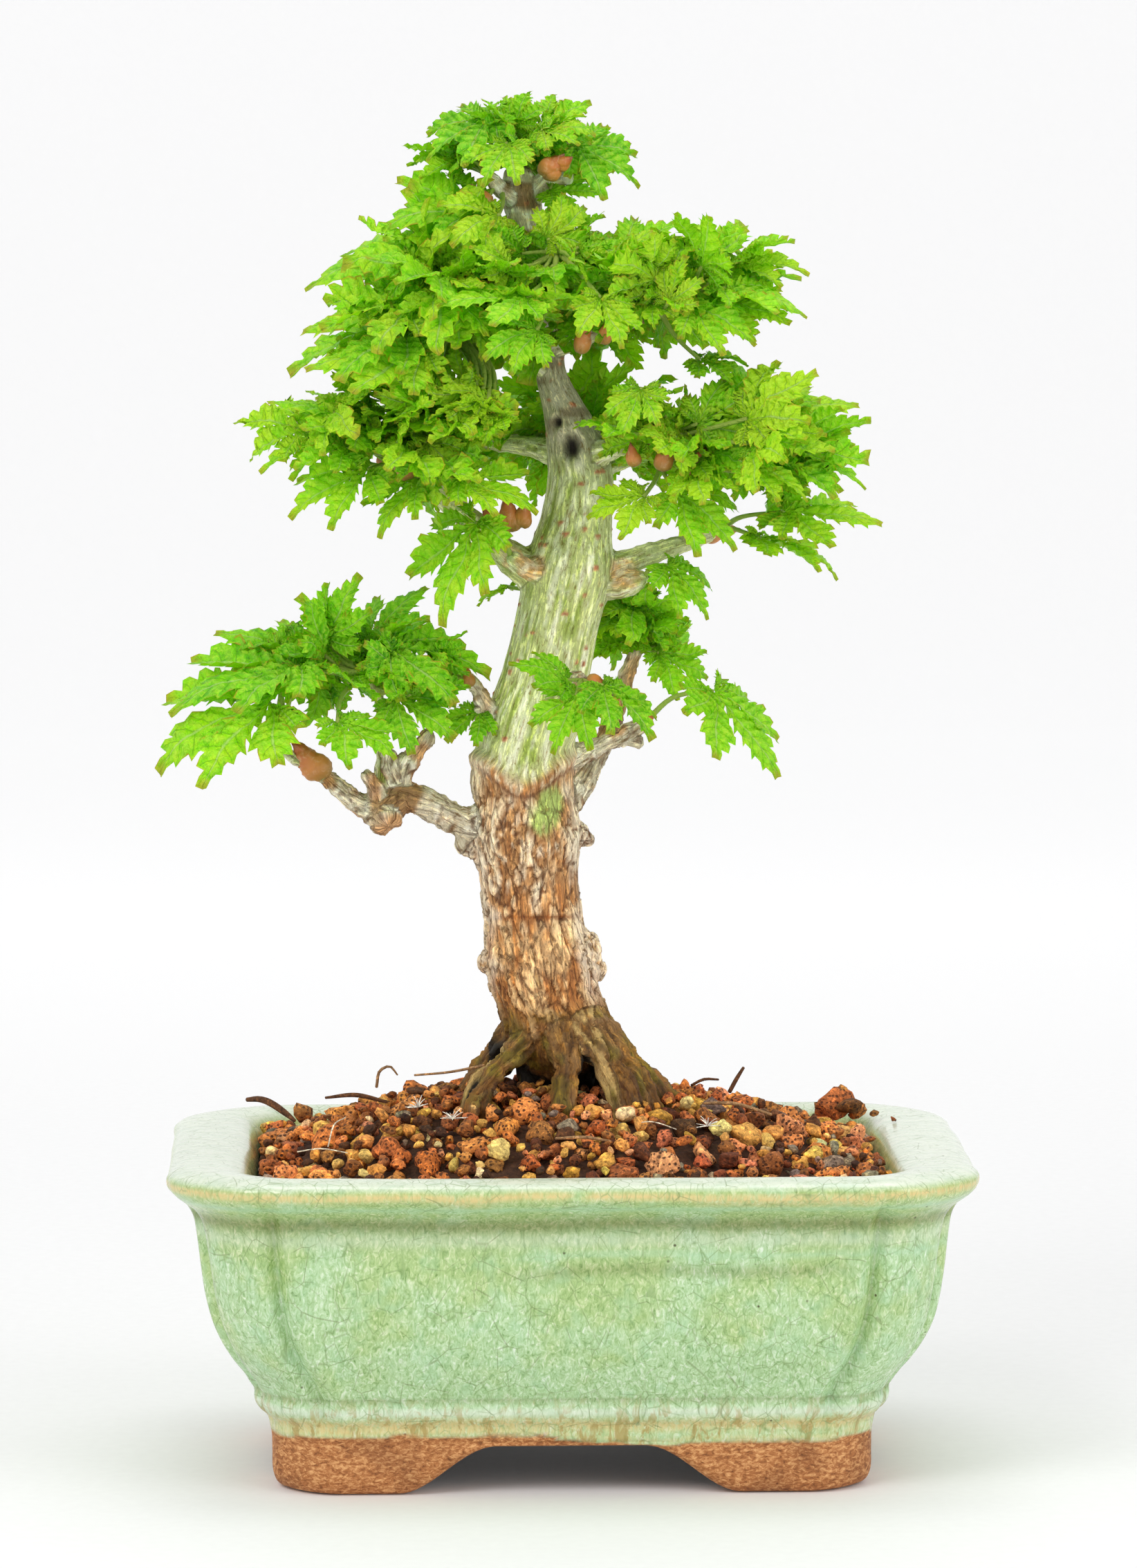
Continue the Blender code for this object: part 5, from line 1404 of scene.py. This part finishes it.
def leaf_pieces():
    rng = np.random.default_rng(29)
    steps = np.linspace(0.05, 1.0, CRUMPLES)
    blades = [[blade(rng, crumple, columns) for crumple in steps] for columns in (6, 4)]
    tiers = {}
    for tier, joint, tip, facing, crumple, loose in leaf_plan(rng):
        last = CRUMPLES - 1
        pick = min(last, max(0, int(crumple * last) + int(rng.integers(-2, 3))))
        shape, faces, reach, across, phase = blades[tier.endswith("_small")][pick]
        size = np.linalg.norm(tip - joint)
        axes = leaf_axes(joint, tip, facing, rng, loose)
        turned = shape * (1, rng.choice([-1, 1]), 1) * (size, size * rng.uniform(0.9, 1.08), size) @ axes + joint
        tops = turned[:, 2]
        turned[:, 2] = np.where(tops > CROWN_TOP, CROWN_TOP + (tops - CROWN_TOP) * 0.4, tops)
        kept = tiers.setdefault(tier, {"shapes": [], "reach": [], "across": [], "phase": [], "tone": [], "stalk": []})
        # A leaf's tone is its own random tone plus its tier's painted light.
        tone = rng.random() + TIER_PAINTED_LIGHT[tier.removesuffix("_small")]
        stem = stalk(joint, axes[0], rng)
        for part, fields, stalky in (((turned, faces), (reach, across, phase), 0.0), (stem, None, 1.0)):
            if part is None:
                continue
            count = len(part[0])
            fields = fields or (np.zeros(count), np.full(count, 0.3), np.full(count, 0.5))
            kept["shapes"].append(part)
            for key, values in zip(("reach", "across", "phase"), fields):
                kept[key].append(values)
            kept["tone"].append(np.full(count, tone))
            kept["stalk"].append(np.full(count, stalky))
    every = np.concatenate([points for kept in tiers.values() for points, _ in kept["shapes"]])
    light, start = open_to_sky(every), 0
    light = np.clip(light / np.quantile(light, 0.9), 0, 1)
    for tier, kept in tiers.items():
        points, faces = merged(kept.pop("shapes"))
        kept["open"] = [light[start: start + len(points)]]
        start += len(points)
        numbers = {key: np.concatenate(rows) for key, rows in kept.items()}
        yield tier, mesh_piece("leaves_" + tier, points, faces, numbers)


def leaf_paint():
    paint = Paint("maple_leaf")
    at = paint.spot()
    across, reach, tone = paint.attribute("across"), paint.attribute("reach"), paint.attribute("tone")
    stalky = paint.attribute("stalk")
    blade_part = 1.0 - stalky
    rib = paint.node("ShaderNodeMath", {"operation": "PINGPONG"}, {0: paint.attribute("phase"), 1: 0.5})
    patch = paint.noise(at, 3.0, 3.0, 0.6)
    sky = paint.attribute("open")
    # The ramp runs brighter with the leaf's tone and with how open it is to the sky; the part from the sky is painted
    # light.
    depth = tone * 0.45 + paint.band(patch, 0.3, 0.7) * 0.40 + sky * 0.10
    colour = paint.ramp(
        depth, (0.08, (0.030, 0.300, 0.002)), (0.38, (0.190, 0.700, 0.003)),
        (0.66, (0.34, 0.90, 0.004)), (0.95, (0.66, 1.00, 0.020)),
    )
    # Painted highlight and shade: the crinkle noise, which also drives the bump, lightens the crinkles' raised parts
    # and darkens their hollows, and the ridges between the side veins are lightened.
    crinkle = paint.noise(at, 1.25, 3.0, 0.7, 1.2)
    ridge = paint.band(crinkle, 0.50, 0.66)
    colour = paint.coats(
        colour,
        (ridge * 0.7, (0.66, 0.98, 0.06)),
        (paint.band(crinkle, 0.47, 0.34) * 0.6, (0.34, 0.56, 0.28), "MULTIPLY"),
        (paint.band(rib, 0.15, 0.45) * 0.30, (0.60, 0.92, 0.09)),
    )
    # Painted shade: dark green lines in the creases between the puckers, along the side veins.
    crease_shade = paint.band(rib, 0.09, 0.02) * paint.band(across, 0.98, 0.7) * 0.5
    middle = paint.band(across, 0.10, 0.03)
    colour = paint.coats(
        colour,
        (crease_shade * blade_part, (0.04, 0.19, 0.006)),
        (middle * 0.6 * blade_part, (0.62, 0.84, 0.28)),
        # Painted shade: leaves shut in deep among the others are darkened.
        (paint.band(sky, 0.60, 0.05) * 0.34, (0.20, 0.36, 0.20), "MULTIPLY"),
    )
    rust = paint.band(across, 0.88, 1.0) * paint.band(paint.noise(at, 5.0), 0.42, 0.62)
    colour = paint.mix(rust * 0.85 * blade_part, colour, (0.62, 0.22, 0.02))
    tip = paint.band(reach, 0.88, 1.0) * blade_part
    colour = paint.coats(
        colour,
        (tip * 0.7, (0.52, 0.17, 0.03)),
        (stalky, (0.50, 0.60, 0.12)),
    )
    relief = crinkle * 1.2 + paint.band(rib, 0.0, 0.5) * 0.5 - middle * 0.4
    normal = paint.bump(relief, 0.9, 0.7)
    rough = 0.30 + paint.band(patch, 0.4, 0.7) * 0.16
    surface = paint.node("ShaderNodeBsdfPrincipled", None, {
        "Base Color": colour, "Roughness": rough, "Normal": normal, "IOR": 1.45, "Specular IOR Level": 0.35,
    })
    through = paint.node("ShaderNodeBsdfTranslucent", None, {"Color": (0.34, 0.86, 0.004)})
    both = paint.node("ShaderNodeMixShader", None, {0: 0.30, 1: surface, 2: through})
    return paint.finish(None, both)


green = leaf_paint()
for tier, piece in leaf_pieces():
    piece.data.materials.append(green)
    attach(piece, "root")
    if not tier.endswith("_small"):
        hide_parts(*sorted(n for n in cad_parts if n.startswith(f"leaf_{tier}_")))

# ---------------------------------------------------------------------------------------------------------------
# Floor, lights and camera. A pale sweep of card under soft light from all round, its far part lit a little from
# within, as a backdrop with its own lamp would be. It stands far enough back for a camera to go behind the tree.
# ---------------------------------------------------------------------------------------------------------------


def floor_sweep():
    half, back, rise, bend = 2.6, 2.8, 2.4, 0.7
    profile = [(-2.6, 0.0), (back - bend, 0.0)]
    turn = np.linspace(0.08, math.pi / 2, 14)
    profile += [(back - bend + bend * math.sin(a), bend - bend * math.cos(a)) for a in turn]
    profile.append((back, rise))
    points, faces = [], []
    for y, z in profile:
        points += [(-half, y, z), (half, y, z)]
    for i in range(len(profile) - 1):
        faces.append((2 * i, 2 * i + 1, 2 * i + 3, 2 * i + 2))
    mesh = bpy.data.meshes.new("floor")
    mesh.from_pydata([(x, y, z - 0.0002) for x, y, z in points], [], faces)
    mesh.shade_smooth()
    return linked("floor", mesh)


def card_paint():
    paint = Paint("pale_card")
    fibre = paint.noise(paint.spot(), 3.0, 3.0)
    colour = paint.ramp(fibre, (0.3, (0.855, 0.855, 0.856)), (0.7, (0.875, 0.875, 0.877)))
    away = paint.node("ShaderNodeSeparateXYZ", None, {0: paint.spot((MM, MM, MM))}, 1)
    behind = paint.band(away, 0.15, 1.3)
    glow = paint.mix(behind, (0.02, 0.02, 0.02), (0.265, 0.265, 0.267))
    end = paint.node("ShaderNodeBsdfPrincipled", None, {
        "Base Color": colour, "Roughness": 0.8, "Normal": paint.bump(fibre, 0.02, 0.1),
        "Emission Color": glow, "Emission Strength": 1.0,
    })
    return paint.finish(None, end)


floor = floor_sweep()
floor.data.materials.append(card_paint())

world = bpy.data.worlds.new("studio")
bpy.context.scene.world = world
world.use_nodes = True
world.node_tree.nodes["Background"].inputs["Color"].default_value = (1.0, 1.0, 1.0, 1.0)
world.node_tree.nodes["Background"].inputs["Strength"].default_value = 0.64


def soft_box(name, at, aim, size, power):
    light = bpy.data.lights.new(name, "AREA")
    light.shape = "RECTANGLE"
    light.size, light.size_y = size
    light.energy = power
    made = linked(name, light)
    made.location = at
    made.rotation_euler = (Vector(aim) - Vector(at)).to_track_quat("-Z", "Y").to_euler()


soft_box("key_light", (-0.75, -0.9, 1.05), (0.0, 0.0, 0.15), (0.7, 0.7), 8.0)
soft_box("fill_light", (0.95, -0.7, 0.55), (0.0, 0.0, 0.12), (0.8, 0.8), 4.6)
soft_box("top_light", (0.05, 0.1, 1.3), (0.0, 0.0, 0.1), (0.9, 0.7), 4.2)

camera_data = bpy.data.cameras.new("camera")
camera_data.sensor_width = 36.0
camera_data.lens = 142.5
camera_data.clip_start = 0.05
camera_data.clip_end = 20.0
camera = bpy.data.objects.new("camera", camera_data)
camera.location = placed([(-48.0, -1398.6, 273.7)])[0].tolist()
camera.rotation_euler = Vector((0.0343, 0.9958, -0.0852)).to_track_quat("-Z", "Y").to_euler()
bpy.context.scene.collection.objects.link(camera)
bpy.context.scene.camera = camera
bpy.context.scene.view_settings.view_transform = "Standard"
